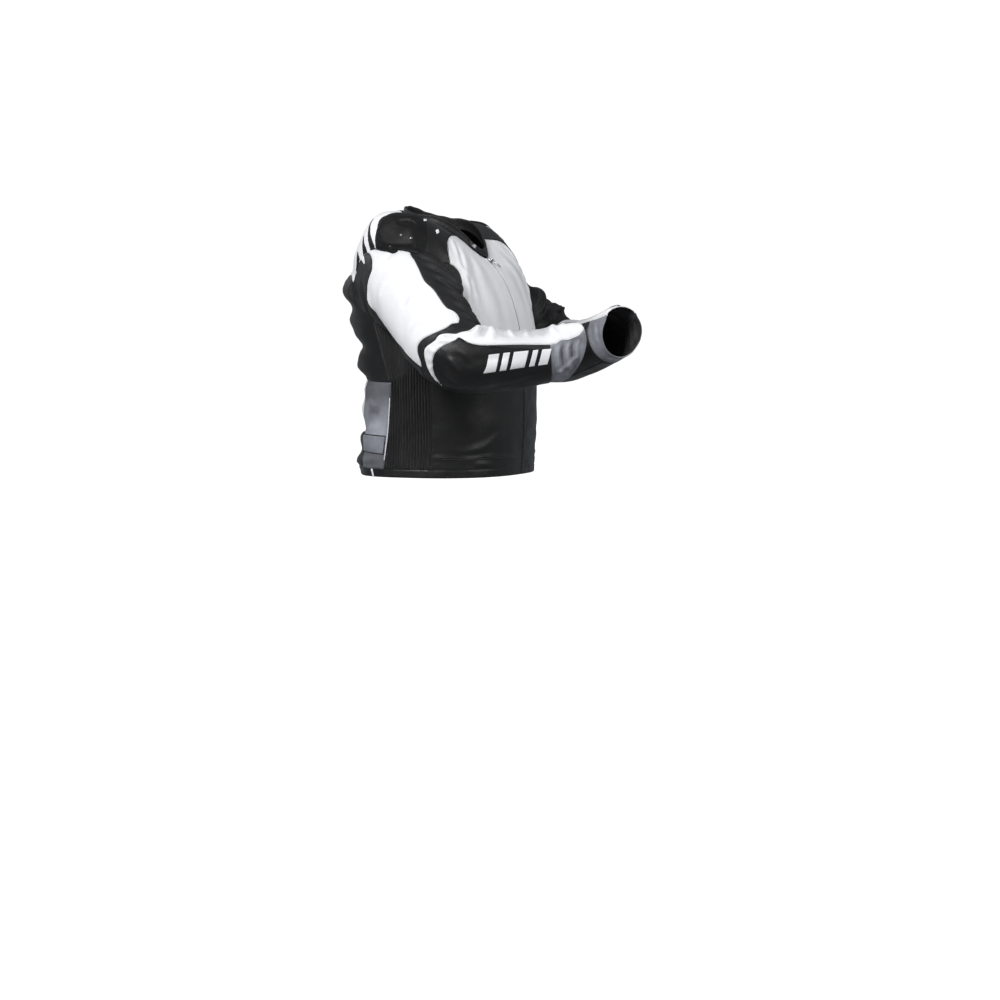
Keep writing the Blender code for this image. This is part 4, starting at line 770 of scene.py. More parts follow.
SLEEVE_CREASES = (
    # Diagonal folds on the front of the upper arm, which run down to the elbow's inside.
    (((117, 0.030), (138, 0.042), (160, 0.070)), 0.0070, 0.0040),
    (((114, 0.085), (138, 0.105), (166, 0.140), (190, 0.18)), 0.0080, 0.0056),
    (((108, 0.120), (130, 0.152), (152, 0.190)), 0.0050, -0.0026),
    (((104, 0.160), (130, 0.192), (160, 0.232), (188, 0.27)), 0.0080, 0.0060),
    (((102, 0.230), (132, 0.265), (162, 0.300), (196, 0.33)), 0.0075, 0.0056),
    (((112, 0.268), (136, 0.300), (160, 0.332)), 0.0048, -0.0024),
    (((108, 0.300), (136, 0.330), (166, 0.358), (200, 0.38)), 0.0070, 0.0058),
    (((112, 0.362), (142, 0.392), (172, 0.414), (204, 0.43)), 0.0065, 0.0060),
    (((122, 0.415), (148, 0.446), (178, 0.464), (208, 0.47)), 0.0060, 0.0056),
    (((126, 0.470), (154, 0.495), (182, 0.508), (214, 0.50)), 0.0055, 0.0046),
    (((200, 0.060), (192, 0.120), (196, 0.190)), 0.0080, 0.0040),
    (((214, 0.160), (206, 0.230), (212, 0.300)), 0.0075, -0.0034),
    # Slack in the white outer panel.
    (((104, 0.06), (86, 0.10), (62, 0.13)), 0.010, -0.0020),
    (((92, 0.16), (66, 0.20), (34, 0.21), (4, 0.24)), 0.012, 0.0024),
    (((90, 0.27), (70, 0.29), (42, 0.33)), 0.010, -0.0022),
    (((100, 0.37), (80, 0.375), (52, 0.39), (20, 0.43)), 0.009, 0.0026),
    (((112, 0.455), (96, 0.43), (70, 0.42), (40, 0.43)), 0.006, -0.0018),
    # Deep folds behind the upper arm.
    (((30, 0.050), (8, 0.070), (-20, 0.085), (-60, 0.07)), 0.013, -0.0030),
    (((14, 0.150), (-14, 0.135), (-44, 0.125), (-80, 0.13)), 0.015, 0.0055),
    (((-16, 0.215), (-40, 0.200), (-70, 0.190), (-100, 0.20)), 0.011, -0.0045),
    (((-14, 0.290), (-40, 0.275), (-72, 0.270), (-104, 0.28)), 0.013, 0.0045),
    (((-10, 0.350), (-36, 0.345), (-66, 0.350), (-98, 0.36)), 0.009, -0.0040),
    (((-4, 0.405), (-30, 0.405), (-62, 0.420), (-96, 0.44)), 0.011, 0.0045),
    (((4, 0.455), (-24, 0.455), (-52, 0.475), (-86, 0.49)), 0.008, -0.0030),
    # Tight creases in the crook of the elbow.
    (((236, 0.30), (212, 0.33), (188, 0.35)), 0.006, 0.0024),
    (((244, 0.38), (220, 0.40), (196, 0.41)), 0.006, 0.0026),
    (((250, 0.45), (226, 0.46), (202, 0.47)), 0.006, 0.0026),
    (((246, 0.62), (222, 0.63), (200, 0.64)), 0.006, 0.0024),
    (((250, 0.68), (228, 0.69), (206, 0.70)), 0.007, 0.0020),
    # Short upright creases along the top of the forearm.
    (((88, 0.570), (104, 0.592), (128, 0.610)), 0.0055, 0.0050),
    (((86, 0.612), (104, 0.624), (134, 0.640)), 0.0055, -0.0026),
    (((82, 0.640), (104, 0.656), (132, 0.660)), 0.0055, 0.0046),
    (((86, 0.684), (110, 0.694), (146, 0.705)), 0.0055, -0.0024),
    (((84, 0.735), (108, 0.722), (138, 0.740)), 0.0058, 0.0042),
    (((84, 0.775), (112, 0.782), (140, 0.775)), 0.0052, 0.0040),
    (((84, 0.835), (112, 0.842), (150, 0.850)), 0.0055, -0.0026),
    (((88, 0.885), (114, 0.880), (150, 0.890)), 0.0060, 0.0040),
    # The forearm's top dips behind the elbow and flares at the cuff.
    (((140, 0.600), (140, 0.700), (138, 0.800), (136, 0.930)), 0.044, -0.0125, 0.45),
    (((92, 0.965), (130, 0.975), (170, 0.965), (205, 0.95)), 0.031, 0.0080, 0.2),
    (((186, 0.44), (212, 0.45), (236, 0.44)), 0.030, 0.0070),
    # The white crescent and the elbow's round.
    (((68, 0.492), (74, 0.512), (80, 0.534)), 0.0040, -0.0022),
    (((60, 0.488), (66, 0.505), (70, 0.520)), 0.0045, 0.0020),
    (((44, 0.478), (42, 0.492), (44, 0.505)), 0.0045, 0.0016),
    (((20, 0.488), (22, 0.500), (28, 0.508)), 0.0040, -0.0014),
    (((46, 0.528), (38, 0.550), (26, 0.575)), 0.0060, 0.0026),
    (((56, 0.545), (48, 0.568), (34, 0.592)), 0.0055, -0.0018),
    (((30, 0.530), (18, 0.548), (6, 0.575)), 0.0070, 0.0022),
    # Long creases along the outer forearm, and the round of the elbow.
    (((-24, 0.53), (-6, 0.56), (8, 0.62), (14, 0.72)), 0.009, 0.0018),
    (((-34, 0.56), (-20, 0.60), (-8, 0.68), (-2, 0.80)), 0.010, -0.0014),
    (((30, 0.56), (34, 0.62), (36, 0.70), (40, 0.80)), 0.010, 0.0012),
    (((50, 0.58), (52, 0.64), (52, 0.72)), 0.007, -0.0010),
    (((8, 0.70), (16, 0.78), (24, 0.86)), 0.008, 0.0012),
    (((-40, 0.66), (-30, 0.74), (-24, 0.84)), 0.009, 0.0016),
    # Curved creases of the cuff, which fan out from its top.
    (((74, 0.905), (58, 0.890), (40, 0.884), (20, 0.888), (0, 0.900)), 0.0045, 0.0030, 0.2),
    (((76, 0.925), (62, 0.908), (44, 0.903), (26, 0.908)), 0.0040, -0.0022, 0.2),
    (((80, 0.945), (64, 0.926), (46, 0.921), (24, 0.926), (2, 0.934)), 0.0045, 0.0032, 0.2),
    (((82, 0.962), (66, 0.945), (48, 0.941), (30, 0.944)), 0.0036, -0.0020, 0.2),
    (((84, 0.976), (68, 0.962), (50, 0.958), (32, 0.960)), 0.0040, 0.0026, 0.2),
    (((44, 0.962), (30, 0.935), (16, 0.905), (6, 0.880)), 0.0040, 0.0030, 0.2),
    (((30, 0.968), (14, 0.948), (-4, 0.920)), 0.0040, -0.0022, 0.2),
    (((110, 0.905), (128, 0.918), (150, 0.922)), 0.0045, 0.0022),
    (((200, 0.900), (230, 0.905), (262, 0.900)), 0.0045, 0.0022),
    (((-70, 0.885), (-44, 0.902), (-20, 0.900)), 0.0050, 0.0024),
)


# ---- the jacket's panels

BODY_STROKES = (
    laid_strokes(on_side(RIGHT), FRONT_CREASES + BACK_CREASES) + laid_strokes(on_side(LEFT), FRONT_CREASES)
)


def body_skin(side):
    return Skin(side, on_side(side), BODY_STROKES, 11)


def body_panels(name, side):
    skin = body_skin(side)
    hem_front = zip_edge(HEM_BAND_TOP, HEM_BAND_TOP, 1)[0]
    chest_low = zip_edge(CHEST_SEAM, CHEST_SEAM, 1)[0]
    side_low, side_high = line(SIDE_PANEL_FRONT, 3), straight(SIDE_PANEL_FRONT[-1], INSERT_FOOT)
    back_low = line(SIDE_PANEL_BACK, 3)
    under_front, under_back = loop_at(UNDER_FRONT), loop_at(UNDER_BACK)
    back_high = straight(SIDE_PANEL_BACK[-1], under_back, 2)
    front_bottom = straight(hem_front, SIDE_PANEL_FRONT[0], 6)
    front_top = straight(chest_low, SIDE_PANEL_FRONT[-1], 6)
    panel(
        f"lower_front_{name}", skin,
        (front_bottom, front_top, zip_edge(HEM_BAND_TOP, CHEST_SEAM, 3), side_low), "black_leather",
        free=("start", "bottom"), stitched=(("end", DOUBLE), ("top", SINGLE), ("start", SINGLE)),
    )

    for level in FACING_LEVELS:
        row = straight((6.0, level), (SIDE_PANEL_FRONT[0][0] - 0.6, level), 6)
        points, normals, relief = skin.laid(row[:, 0], row[:, 1])
        THREADS["grey"].append((points + normals * relief[:, None], normals))

    insert_outer, shoulder_front = line(INSERT_OUTER, 5), line(SHOULDER_FRONT, 4)
    chest_side = joined(side_high, insert_outer, shoulder_front)
    chest_top = straight(zip_edge(NECK, NECK, 1)[0], SHOULDER_FRONT[-1], 6)
    panel(
        f"chest_{name}", skin,
        (front_top, chest_top, zip_edge(CHEST_SEAM, NECK, 10), chest_side), "white_leather",
        free=("start",), stitched=(("end", DOUBLE), ("bottom", DOUBLE), ("start", ZIP_STITCH)),
    )

    insert_inner = loop_arc(UNDER_FRONT, INSERT_TOP, 5)
    panel(
        f"armhole_insert_{name}", skin,
        (
            straight(insert_outer[0], insert_inner[0]), straight(insert_outer[-1], insert_inner[-1]),
            insert_outer, insert_inner,
        ),
        "stretch", STRETCH,
    )

    shoulder_bottom = joined(
        straight(insert_outer[-1], insert_inner[-1]), loop_arc(INSERT_TOP, 0, 2), loop_arc(360, YOKE_TOP, 6)
    )
    shoulder_back = pinned(line(SHOULDER_BACK, 4), loop_at(YOKE_TOP), SHOULDER_BACK[-1])
    outer, facing = panel(
        f"shoulder_panel_{name}", skin,
        (shoulder_bottom, straight(SHOULDER_FRONT[-1], SHOULDER_BACK[-1], 9), shoulder_front, shoulder_back),
        "black_leather", stitched=(("start", DOUBLE), ("end", SINGLE)),
    )
    THREADS["grey"] += [offset_line(outer, facing, "bottom", distance) for distance in DOUBLE]

    panel(
        f"side_panel_{name}", skin,
        (
            straight(SIDE_PANEL_FRONT[0], SIDE_PANEL_BACK[0], 20),
            joined(straight(under_front, loop_at(180), 10), straight(loop_at(180), under_back, 10)),
            joined(side_low, side_high, straight(INSERT_FOOT, under_front)), joined(back_low, back_high),
        ),
        "stretch", STRETCH, ribbed=True,
    )

    kidney_back = line(KIDNEY_BACK, 3)
    panel(
        f"kidney_{name}", skin,
        (
            straight(SIDE_PANEL_BACK[0], KIDNEY_BACK[0], 3), straight(SIDE_PANEL_BACK[-1], KIDNEY_BACK[-1], 3),
            back_low, kidney_back,
        ),
        "kidney_leather", stitched=(("start", DOUBLE), ("end", SINGLE), ("top", SINGLE)),
    )

    band_tops = joined(
        front_bottom, straight(SIDE_PANEL_FRONT[0], SIDE_PANEL_BACK[0], 3),
        straight(SIDE_PANEL_BACK[0], KIDNEY_BACK[0], 3), straight(KIDNEY_BACK[0], (180, HEM_BAND_TOP), 3),
    )
    panel(
        f"hem_band_{name}", skin,
        (
            pinned(band_tops * (1, 0), zip_edge(0, 0, 1)[0], (180, 0)), band_tops,
            zip_edge(0, HEM_BAND_TOP, 1), straight((180, 0), (180, HEM_BAND_TOP)),
        ),
        "black_leather", HEM_THICKNESS, free=("start", "bottom", "top"),
        stitched=(("top", SINGLE), ("bottom", HEM_STITCH)),
    )


def back_panels():
    skin = body_skin(RIGHT)
    kidney_back = line(KIDNEY_BACK, 3)
    low_bottom = across_back(straight(KIDNEY_BACK[0], (180, HEM_BAND_TOP), 3))
    low_top = across_back(straight(KIDNEY_BACK[-1], (180, BACK_SEAM), 3))
    panel(
        "lower_back", skin, (low_bottom, low_top, kidney_back, mirrored(kidney_back)), "white_leather",
        stitched=(("start", SINGLE), ("end", SINGLE)),
    )
    seam = across_back(
        joined(straight(SIDE_PANEL_BACK[-1], KIDNEY_BACK[-1], 3), straight(KIDNEY_BACK[-1], (180, BACK_SEAM), 3))
    )
    yoke_foot = across_back(pinned(line(YOKE_FOOT, 6), loop_at(YOKE_END), YOKE_FOOT[-1]))
    rise = joined(straight(SIDE_PANEL_BACK[-1], loop_at(UNDER_BACK), 2), loop_arc(UNDER_BACK, YOKE_END, 3))
    panel(
        "upper_back", skin, (seam, yoke_foot, rise, mirrored(rise)), "black_leather",
        stitched=(("bottom", DOUBLE),),
    )
    shoulder_back = pinned(line(SHOULDER_BACK, 4), loop_at(YOKE_TOP), SHOULDER_BACK[-1])
    yoke_side = joined(loop_arc(YOKE_END, YOKE_TOP, 3), shoulder_back)
    neck = across_back(straight(SHOULDER_BACK[-1], (180, NECK), 6))
    panel(
        "back_yoke", skin, (yoke_foot, neck, yoke_side, mirrored(yoke_side)), "white_leather",
        stitched=(("bottom", DOUBLE),),
    )


def sleeve_panels(name, side):
    """The panels of one sleeve. The long seams end where the elbow band's columns do."""
    strokes = SLEEVE_CREASES + (RIGHT_CREASES if side == RIGHT else LEFT_CREASES)
    skin = Skin(side, ARM[side].point, laid_strokes(ARM[side].point, strokes), 37 if side == RIGHT else 41)

    def seam(points, pieces):
        return line(points, pieces, SLEEVE_SCALE)

    turns = joined(
        np.linspace(FRONT_SEAM, BACK_SEAM_ANGLE, BACK_COLUMNS * DENSE + 1),
        np.linspace(BACK_SEAM_ANGLE, OUTER_SEAM, OUTER_COLUMNS * DENSE + 1),
        np.linspace(OUTER_SEAM, FRONT_SEAM + 360, FRONT_COLUMNS * DENSE + 1),
    )
    near, far = ring_line(BAND_START, turns), ring_line(BAND_END, turns)
    first, second = BACK_COLUMNS * DENSE, (BACK_COLUMNS + OUTER_COLUMNS) * DENSE
    back, outer, front = near[: first + 1], near[first : second + 1], near[second:]

    outer_front = pinned(seam(OUTER_FRONT, 7), sleeve_arc(OUTER_END, OUTER_END, 1)[0], outer[-1] - ONCE_ROUND)
    outer_back = pinned(seam(OUTER_BACK, 7) + ONCE_ROUND, sleeve_arc(OUTER_START, OUTER_START, 1)[0], back[-1])
    front_inner = pinned(seam(FRONT_INNER, 7), sleeve_arc(INNER_START, INNER_START, 1)[0], near[0])
    underarm = joined(
        sleeve_arc(INNER_START, UNDER_FRONT, 1), sleeve_arc(UNDER_FRONT, UNDER_BACK, 6),
        sleeve_arc(UNDER_BACK, OUTER_START, 6),
    )
    panel(
        f"sleeve_outer_{name}", skin,
        (sleeve_arc(OUTER_START, 360 + OUTER_END, 6), outer, outer_back, outer_front + ONCE_ROUND), "white_leather",
        stitched=(("end", DOUBLE), ("start", DOUBLE), ("top", SINGLE), ("bottom", SINGLE)),
    )
    panel(
        f"sleeve_front_{name}", skin,
        (sleeve_arc(OUTER_END, INNER_START, 6), front - ONCE_ROUND, outer_front, front_inner), "stretch", STRETCH,
    )
    panel(f"sleeve_back_{name}", skin, (underarm, back, front_inner, outer_back), "black_leather")
    span = near[0], far[0]
    panel(
        f"elbow_band_{name}", skin, (near, far, straight(*span), straight(*span) + ONCE_ROUND),
        "stretch", STRETCH, closed=True,
    )

    edge = far[TIP_COLUMN * DENSE : TOP_COLUMN * DENSE + 1]
    crescent = seam(CRESCENT_INNER, CORNER_COLUMN - TIP_COLUMN)
    lower = joined(seam(TOP_LOWER[:4], 4), seam(TOP_LOWER[3:6], 4), seam(TOP_LOWER[5:], 4)) + ONCE_ROUND
    upper = joined(seam(TOP_UPPER[:3], 5), straight(TOP_UPPER[2], TOP_UPPER[3])) + ONCE_ROUND
    upper = pinned(upper, edge[-1], upper[-1])
    inside, outside = joined(crescent, lower), joined(edge, upper)
    panel(
        f"forearm_top_{name}", skin,
        (straight(inside[0], outside[0], 3), straight(inside[-1], outside[-1], 3), inside, outside),
        "white_leather", stitched=(("start", DOUBLE), ("end", SINGLE)),
    )

    gusset = seam(GUSSET_LOWER, 4) + ONCE_ROUND
    fold, turn_in = 4 * DENSE, 8 * DENSE
    panel(
        f"forearm_gusset_{name}", skin,
        (straight(gusset[0], lower[fold]), straight(gusset[-1], lower[turn_in]), gusset, lower[fold : turn_in + 1]),
        "stretch", STRETCH,
    )

    under = seam(UNDER_SEAM, 9)
    under = pinned(under, far[UNDER_COLUMN * DENSE], under[-1])
    elbow_side = joined(
        far[UNDER_COLUMN * DENSE : TIP_COLUMN * DENSE + 1], straight(edge[0], crescent[0], 3), crescent
    )
    cuff_side = straight(under[-1], gusset[-1], 12)
    panel(
        f"forearm_outer_{name}", skin,
        (elbow_side, cuff_side, under, joined(lower[: fold + 1], straight(lower[fold], gusset[0]), gusset)),
        "black_leather", stitched=(("end", SINGLE),),
    )

    around = joined(far[TOP_COLUMN * DENSE :], far[: UNDER_COLUMN * DENSE + 1] + ONCE_ROUND)
    cuff_inner = straight(upper[5 * DENSE], under[-1] + ONCE_ROUND, 10)
    panel(
        f"forearm_inner_{name}", skin,
        (around, cuff_inner, upper[: 5 * DENSE + 1], resampled(under, (0, 1, 2, 3, 6, 9)) + ONCE_ROUND),
        "black_leather",
    )

    cuff_low = joined(cuff_inner - ONCE_ROUND, cuff_side, straight(gusset[-1], lower[turn_in]))
    cuff_high = ring_line(CUFF_END, np.linspace(upper[-1][0] - 360, lower[-1][0], len(cuff_low)))
    cuff_high = pinned(cuff_high, upper[-1] - ONCE_ROUND, lower[-1])
    panel(
        f"cuff_{name}", skin,
        (cuff_low, cuff_high, straight(upper[5 * DENSE], upper[6 * DENSE], 4) - ONCE_ROUND, lower[turn_in:]),
        "grey_leather", free=("top",), stitched=(("bottom", DOUBLE), ("top", DOUBLE)),
    )
    return skin


# ---- pieces that lie on the panels

TRIM_LIFT, TRIM_SUNK, TRIM_ROLL = 0.0002, 0.0006, 0.0012
ACCENT_THICKNESS, SLASH_THICKNESS, TIP_THICKNESS, BAR_THICKNESS = 0.0009, 0.0009, 0.0008, 0.0006
SLASH_CELL, TIP_CELL, BAR_CELL = 0.0028, 0.0024, 0.0026
# (angle, level) corners of flat trim on the body.
ACCENTS = (((74.6, 6.02), (1.7, 0.160)), ((60.6, 5.72), (1.7, 0.160)))
STRAP = ((102.6, 0.48), (131.3, 0.52), (131.9, 0.855), (100.9, 0.835))
STRAP_EDGE = ((102.0, 0.465), (132.0, 0.505), (132.5, 0.878), (100.3, 0.858))
STRAP_TAB = ((130.6, 0.19), (147.5, 0.24), (147.0, 0.92), (131.4, 0.90))
HEM_LOOP = ((111.6, 0.01), (113.6, 0.01), (116.0, 0.16), (114.0, 0.16))
# (piece, corners, cell, thickness, finish, CAD node, how far over the panel)
FLAT_TRIM = (
    ("waist_strap_{}_edge", STRAP_EDGE, CELL, 0.0014, "black_leather", None, 0.0),
    ("waist_strap_{}_leather", STRAP, CELL, 0.0016, "grey_leather", "waist_strap_{}", 0.0012),
    ("hem_loop_{}_leather", HEM_LOOP, FINE_CELL, 0.0010, "white_leather", None, 0.0),
    ("strap_tab_{}_leather", STRAP_TAB, CELL, 0.0026, "black_leather", "strap_tab_{}", 0.0),
)
PIPING_RADIUS, TUBE_SIDES = 0.0010, 6
SHOULDER_ZIP = (0.0042, 0.0013, 0.0005)  # (pitch, reach, radius) of its cord
# Each slash runs from (angle, level) to the armhole between two loop angles.
SLASHES = (((121.0, 5.66), (337.0, 345.5)), ((123.0, 5.14), (319.5, 331.0)), ((128.0, 4.74), (285.0, 307.5)))
SLASH_TIP, YOKE_TIP, YOKE_TIP_START, YOKE_TIP_FOOT = 0.45, (308.5, 318.5), 0.005, ((44.0, 0.046), (41.5, 0.044))
CUP_MIDDLE, CUP_REACH, CUP_CELLS = np.array((87.5, 5.22)), np.array((18.5, 0.97)), 56
CUP_ROUND = 0.86
CUP_LIP, CUP_EDGE, CUP_DOME, CUP_GROOVE = 0.05, 0.0026, 0.0078, 0.0012
RECESS_MIDDLE, RECESS_HALF, RECESS_LEAN, RECESS_DEPTH, RECESS_RIM = (-0.10, 0.30), (0.40, 0.15), 0.35, 0.0028, 0.0005
RIDGE_RISE, RIDGE_PLACE, RIDGE_BOW, RIDGE_WIDTH = 0.0008, -0.42, 0.16, 0.07
# The cup's lower lobe lies on the sleeve's head, at (sleeve angle, run).
CUP_LOBE = ((93.0, 0.010), (88.0, 0.045), (91.0, 0.085), (98.0, 0.088), (108.0, 0.060), (117.5, 0.012))
CUP_RIVETS = ((0.78, 0.18), (0.51, 0.42), (0.33, 0.40))
CUP_RIVET_RADIUS, CUP_RIVET_RISE, CUP_RIVET_SUNK = 0.0026, 0.0012, 0.0003
# (radius, height) of a round cap's profile, as shares
CAP_PROFILE = (
    (0.96, -0.6), (1.0, 0.05), (0.97, 0.35), (0.86, 0.62), (0.70, 0.60), (0.60, 0.72), (0.42, 0.95), (0.2, 1.0),
    (0.06, 0.97),
)
CAP_SIDES = 28
CUFF_ZIP = ((146, 0.885), (154, 0.885), (153, 0.980), (147, 0.980))
CUFF_TAPE, CUFF_TOOTH_PITCH, CUFF_TOOTH, CUFF_TOOTH_LIFT = 0.0010, 0.0022, (0.0018, 0.0011, 0.0009), 0.0004
# The slanted bars on the outer forearm: first and last place in (sleeve angle, run), the bars' lean and height,
# and (width, gap) of each as shares of the row.
FOREARM_ROW, BAR_LEAN, BAR_HEIGHT = ((27, 0.615), (31, 0.858)), (0, 0.020), (30, 0)
FOREARM_BARS = ((0.16, 0.06), (0.10, 0.06), (0.22, 0.07), (0.08, 0.06), (0.14, 0.0))


def quadrilateral(skin, corners, cell):
    a, b, c, d = (np.array(corner, float) for corner in corners)
    return coons(skin.point, straight(a, b), straight(d, c), straight(a, d), straight(b, c), (cell, cell))


def applied(name, skin, grid, thickness, finish, node=None, over=0.0, sheet=True):
    """A piece of trim sewn flat onto a panel, with a rolled edge. It dips into the panel by its foot."""
    points, normals, relief = skin.laid(grid[..., 0], grid[..., 1])
    along, across = arcs(points, 0), arcs(points, 1)
    nearest = np.minimum.reduce([along, along[-1:] - along, across, across[:, -1:] - across])
    height = over + TRIM_LIFT + thickness * (0.3 + 0.7 * soft_step(nearest / TRIM_ROLL))
    outer = points + normals * (relief + height)[..., None]
    inner = points + normals * (relief + over - TRIM_SUNK)[..., None]
    piece = shell(name, outer, inner, finish, finish, relief=relief)
    if node:
        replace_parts(piece, node)
    if sheet:
        declare(outer)
    return outer, grid_normals(outer, normals)


def patch(name, skin, corners, cell, *rest, **others):
    """A piece of trim with four straight edges."""
    return applied(name, skin, quadrilateral(skin, corners, cell), *rest, **others)


def cup_height(x, y):
    """Height of the shoulder cup over its foot: a lip, a dome with a recess, and two moulded ridges."""
    inside = (1 - x**2) * (1 - y**2)
    dome = np.clip((inside - CUP_LIP) / (1 - CUP_LIP), 0, 1) ** 0.5
    height = CUP_EDGE + (CUP_DOME - CUP_EDGE) * dome
    height -= CUP_GROOVE * soft_step(inside / CUP_LIP) * (inside < CUP_LIP * 1.6)
    turn_x = x + RECESS_LEAN * (y - 0.25) - RECESS_MIDDLE[0]
    turn_y = y - RECESS_MIDDLE[1] - 0.10 * x
    oval = (turn_x / RECESS_HALF[0]) ** 2 + (turn_y / RECESS_HALF[1]) ** 2
    height -= RECESS_DEPTH * soft_step((1.25 - oval) / 0.5)
    height += RECESS_RIM * np.exp(-((oval - 1.35) ** 2) / 0.05)
    ridge = (y - RIDGE_PLACE - RIDGE_BOW * x * x) / RIDGE_WIDTH
    height += RIDGE_RISE * np.exp(-(ridge**2)) * soft_step((0.8 - abs(x)) / 0.3)
    return height * (0.10 + 0.90 * soft_step((1 + x) / 0.8))


def cup_surface(side):
    """The body surface above the armhole, carried on over the top of the sleeve below it."""
    loops = np.arange(80.0, -81.0, -1.0)
    angles, levels = armhole(loops % 360)
    sleeve_angles = np.interp(loops % 360, LOOPS, SLEEVE_ANGLES) + np.where(loops < 0, 0.0, 360.0)

    def point(angle, level):
        edge = np.interp(angle, angles, levels)
        run = np.clip(edge - level, 0, None) * BODY_SCALE[1] / ARM[side].length
        over = ARM[side].point(np.interp(angle, angles, sleeve_angles), run)
        return np.where((level >= edge)[..., None], body_point(side * angle, np.maximum(level, edge)), over)

    return point


def shoulder_cup(name, skin):
    x, y = np.meshgrid(*[np.linspace(-1, 1, CUP_CELLS + 1)] * 2, indexing="ij")
    round_x, round_y = np.sqrt(1 - CUP_ROUND * y**2 / 2), np.sqrt(1 - CUP_ROUND * x**2 / 2)
    grid = np.stack([x * round_x, y * round_y], -1) * CUP_REACH + CUP_MIDDLE
    points, normals, relief = skin.laid(grid[..., 0], grid[..., 1])
    for _ in range(CUP_CELLS // 3):
        normals[1:-1, 1:-1] += normals[:-2, 1:-1] + normals[2:, 1:-1] + normals[1:-1, :-2] + normals[1:-1, 2:]
        normals = unit(normals)
    outer = points + normals * (relief + TRIM_LIFT + cup_height(x, y))[..., None]
    inner = points + normals * (relief - TRIM_SUNK)[..., None]
    piece = shell(f"shoulder_cup_{name}_shell", outer, inner, "gloss", "gloss")
    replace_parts(piece, f"shoulder_cup_{name}")
    facing = grid_normals(outer, normals)
    for column, row in CUP_RIVETS:
        i, j = round(column * CUP_CELLS), round(row * CUP_CELLS)
        seat = outer[i, j] - facing[i, j] * CUP_RIVET_SUNK
        rivet(f"rivet_{name}_{i}_{j}", seat, facing[i, j], CUP_RIVET_RADIUS, CUP_RIVET_RISE)
    for key in ("end", "bottom"):
        THREADS["grey"].append(offset_line(outer, facing, key, SINGLE[0]))


def axes_about(axis):
    """Rows of two unit vectors across an axis and the axis itself."""
    axis = unit(axis)
    aside = unit(np.cross((0, 0, 1) if abs(axis[2]) < 0.9 else (0, 1, 0), axis))
    return np.array([aside, np.cross(axis, aside), axis])


def circle(sides):
    turn = np.linspace(0, 2 * math.pi, sides, endpoint=False)
    return np.stack([np.cos(turn), np.sin(turn)], -1)


def lofted(rings, sides):
    """Faces of a body made of rings of points, with a cap at each end."""
    faces = [tuple(range(sides))[::-1], tuple(range((rings - 1) * sides, rings * sides))]
    for low in range(0, (rings - 1) * sides, sides):
        for k in range(sides):
            after = (k + 1) % sides
            faces.append((low + k, low + after, low + sides + after, low + sides + k))
    return faces


def rivet(name, middle, axis, radius, rise):
    """A domed round cap with a rolled rim and a dimple, turned from its own profile."""
    rows = axes_about(axis)
    ring = circle(CAP_SIDES) @ rows[:2]
    points = np.concatenate([middle + ring * radius * r + rows[2] * rise * h for r, h in CAP_PROFILE])
    return mesh_piece(name, points, lofted(len(CAP_PROFILE), CAP_SIDES), ["metal"])


def tube(name, points, radius, finish):
    """A thin closed tube along a line of points."""
    points = np.asarray(points)
    along = unit(np.gradient(points, axis=0))
    side = unit(np.cross(along, along[:, [1, 2, 0]] + (0.1, 0.2, 0.3)))
    over = np.cross(along, side)
    cosine, sine = circle(TUBE_SIDES).T[..., None]
    rings = points[:, None] + (side[:, None] * cosine + over[:, None] * sine) * radius
    mesh_piece(name, rings.reshape(-1, 3), lofted(len(points), TUBE_SIDES), [finish])


def zigzag(name, skin, seam, pitch, reach, radius, finish):
    """A cord sewn to and fro across a seam line."""
    points, normals, relief = skin.laid(seam[:, 0], seam[:, 1])
    points = points + normals * (relief + radius)[:, None]
    run = run_of(points)
    count = int(run[-1] / pitch)
    where = (np.arange(count * 4) + 0.5) * pitch / 4
    middle, normal = at_run(where, run, points), unit(at_run(where, run, normals))
    aside = unit(np.cross(normal, unit(np.gradient(middle, axis=0))))
    swing = np.tile((-1.0, 0.0, 1.0, 0.0), count)[:, None]
    tube(name, middle + aside * swing * reach, radius, finish)


def body_trim(name, side):
    skin = body_skin(side)
    shoulder_cup(name, Skin(side, cup_surface(side), BODY_STROKES, 11))
    for number, ((angle, level), (lean, rise)) in enumerate(ACCENTS, 1):
        diamond = ((angle - lean, level), (angle, level - rise), (angle + lean, level), (angle, level + rise))
        node = f"accent_{name}_{number}"
        patch(f"{node}_patch", skin, diamond, FINE_CELL, ACCENT_THICKNESS, "white_leather", node)
    for piece, corners, cell, thickness, finish, node, over in FLAT_TRIM:
        patch(piece.format(name), skin, corners, cell, thickness, finish, node and node.format(name), over)
    seam = line(SIDE_PANEL_BACK, 3)[DENSE // 3 : -DENSE // 2]
    points, normals, relief = skin.laid(seam[:, 0], seam[:, 1])
    points = points + normals * (relief + PIPING_RADIUS)[:, None]
    tube(f"kidney_piping_{name}", points, PIPING_RADIUS, "white_leather")
    for number, ((angle, level), (low, high)) in enumerate(SLASHES, 1):
        corners = (angle - SLASH_TIP, level), (angle + SLASH_TIP, level), loop_at(low), loop_at(high)
        node = f"yoke_slash_{name}_{number}"
        patch(f"{node}_leather", skin, corners, SLASH_CELL, SLASH_THICKNESS, "black_leather", node)
    zigzag(f"shoulder_zip_{name}", skin, line(SHOULDER_FRONT, 4)[: 3 * DENSE], *SHOULDER_ZIP, "tape")


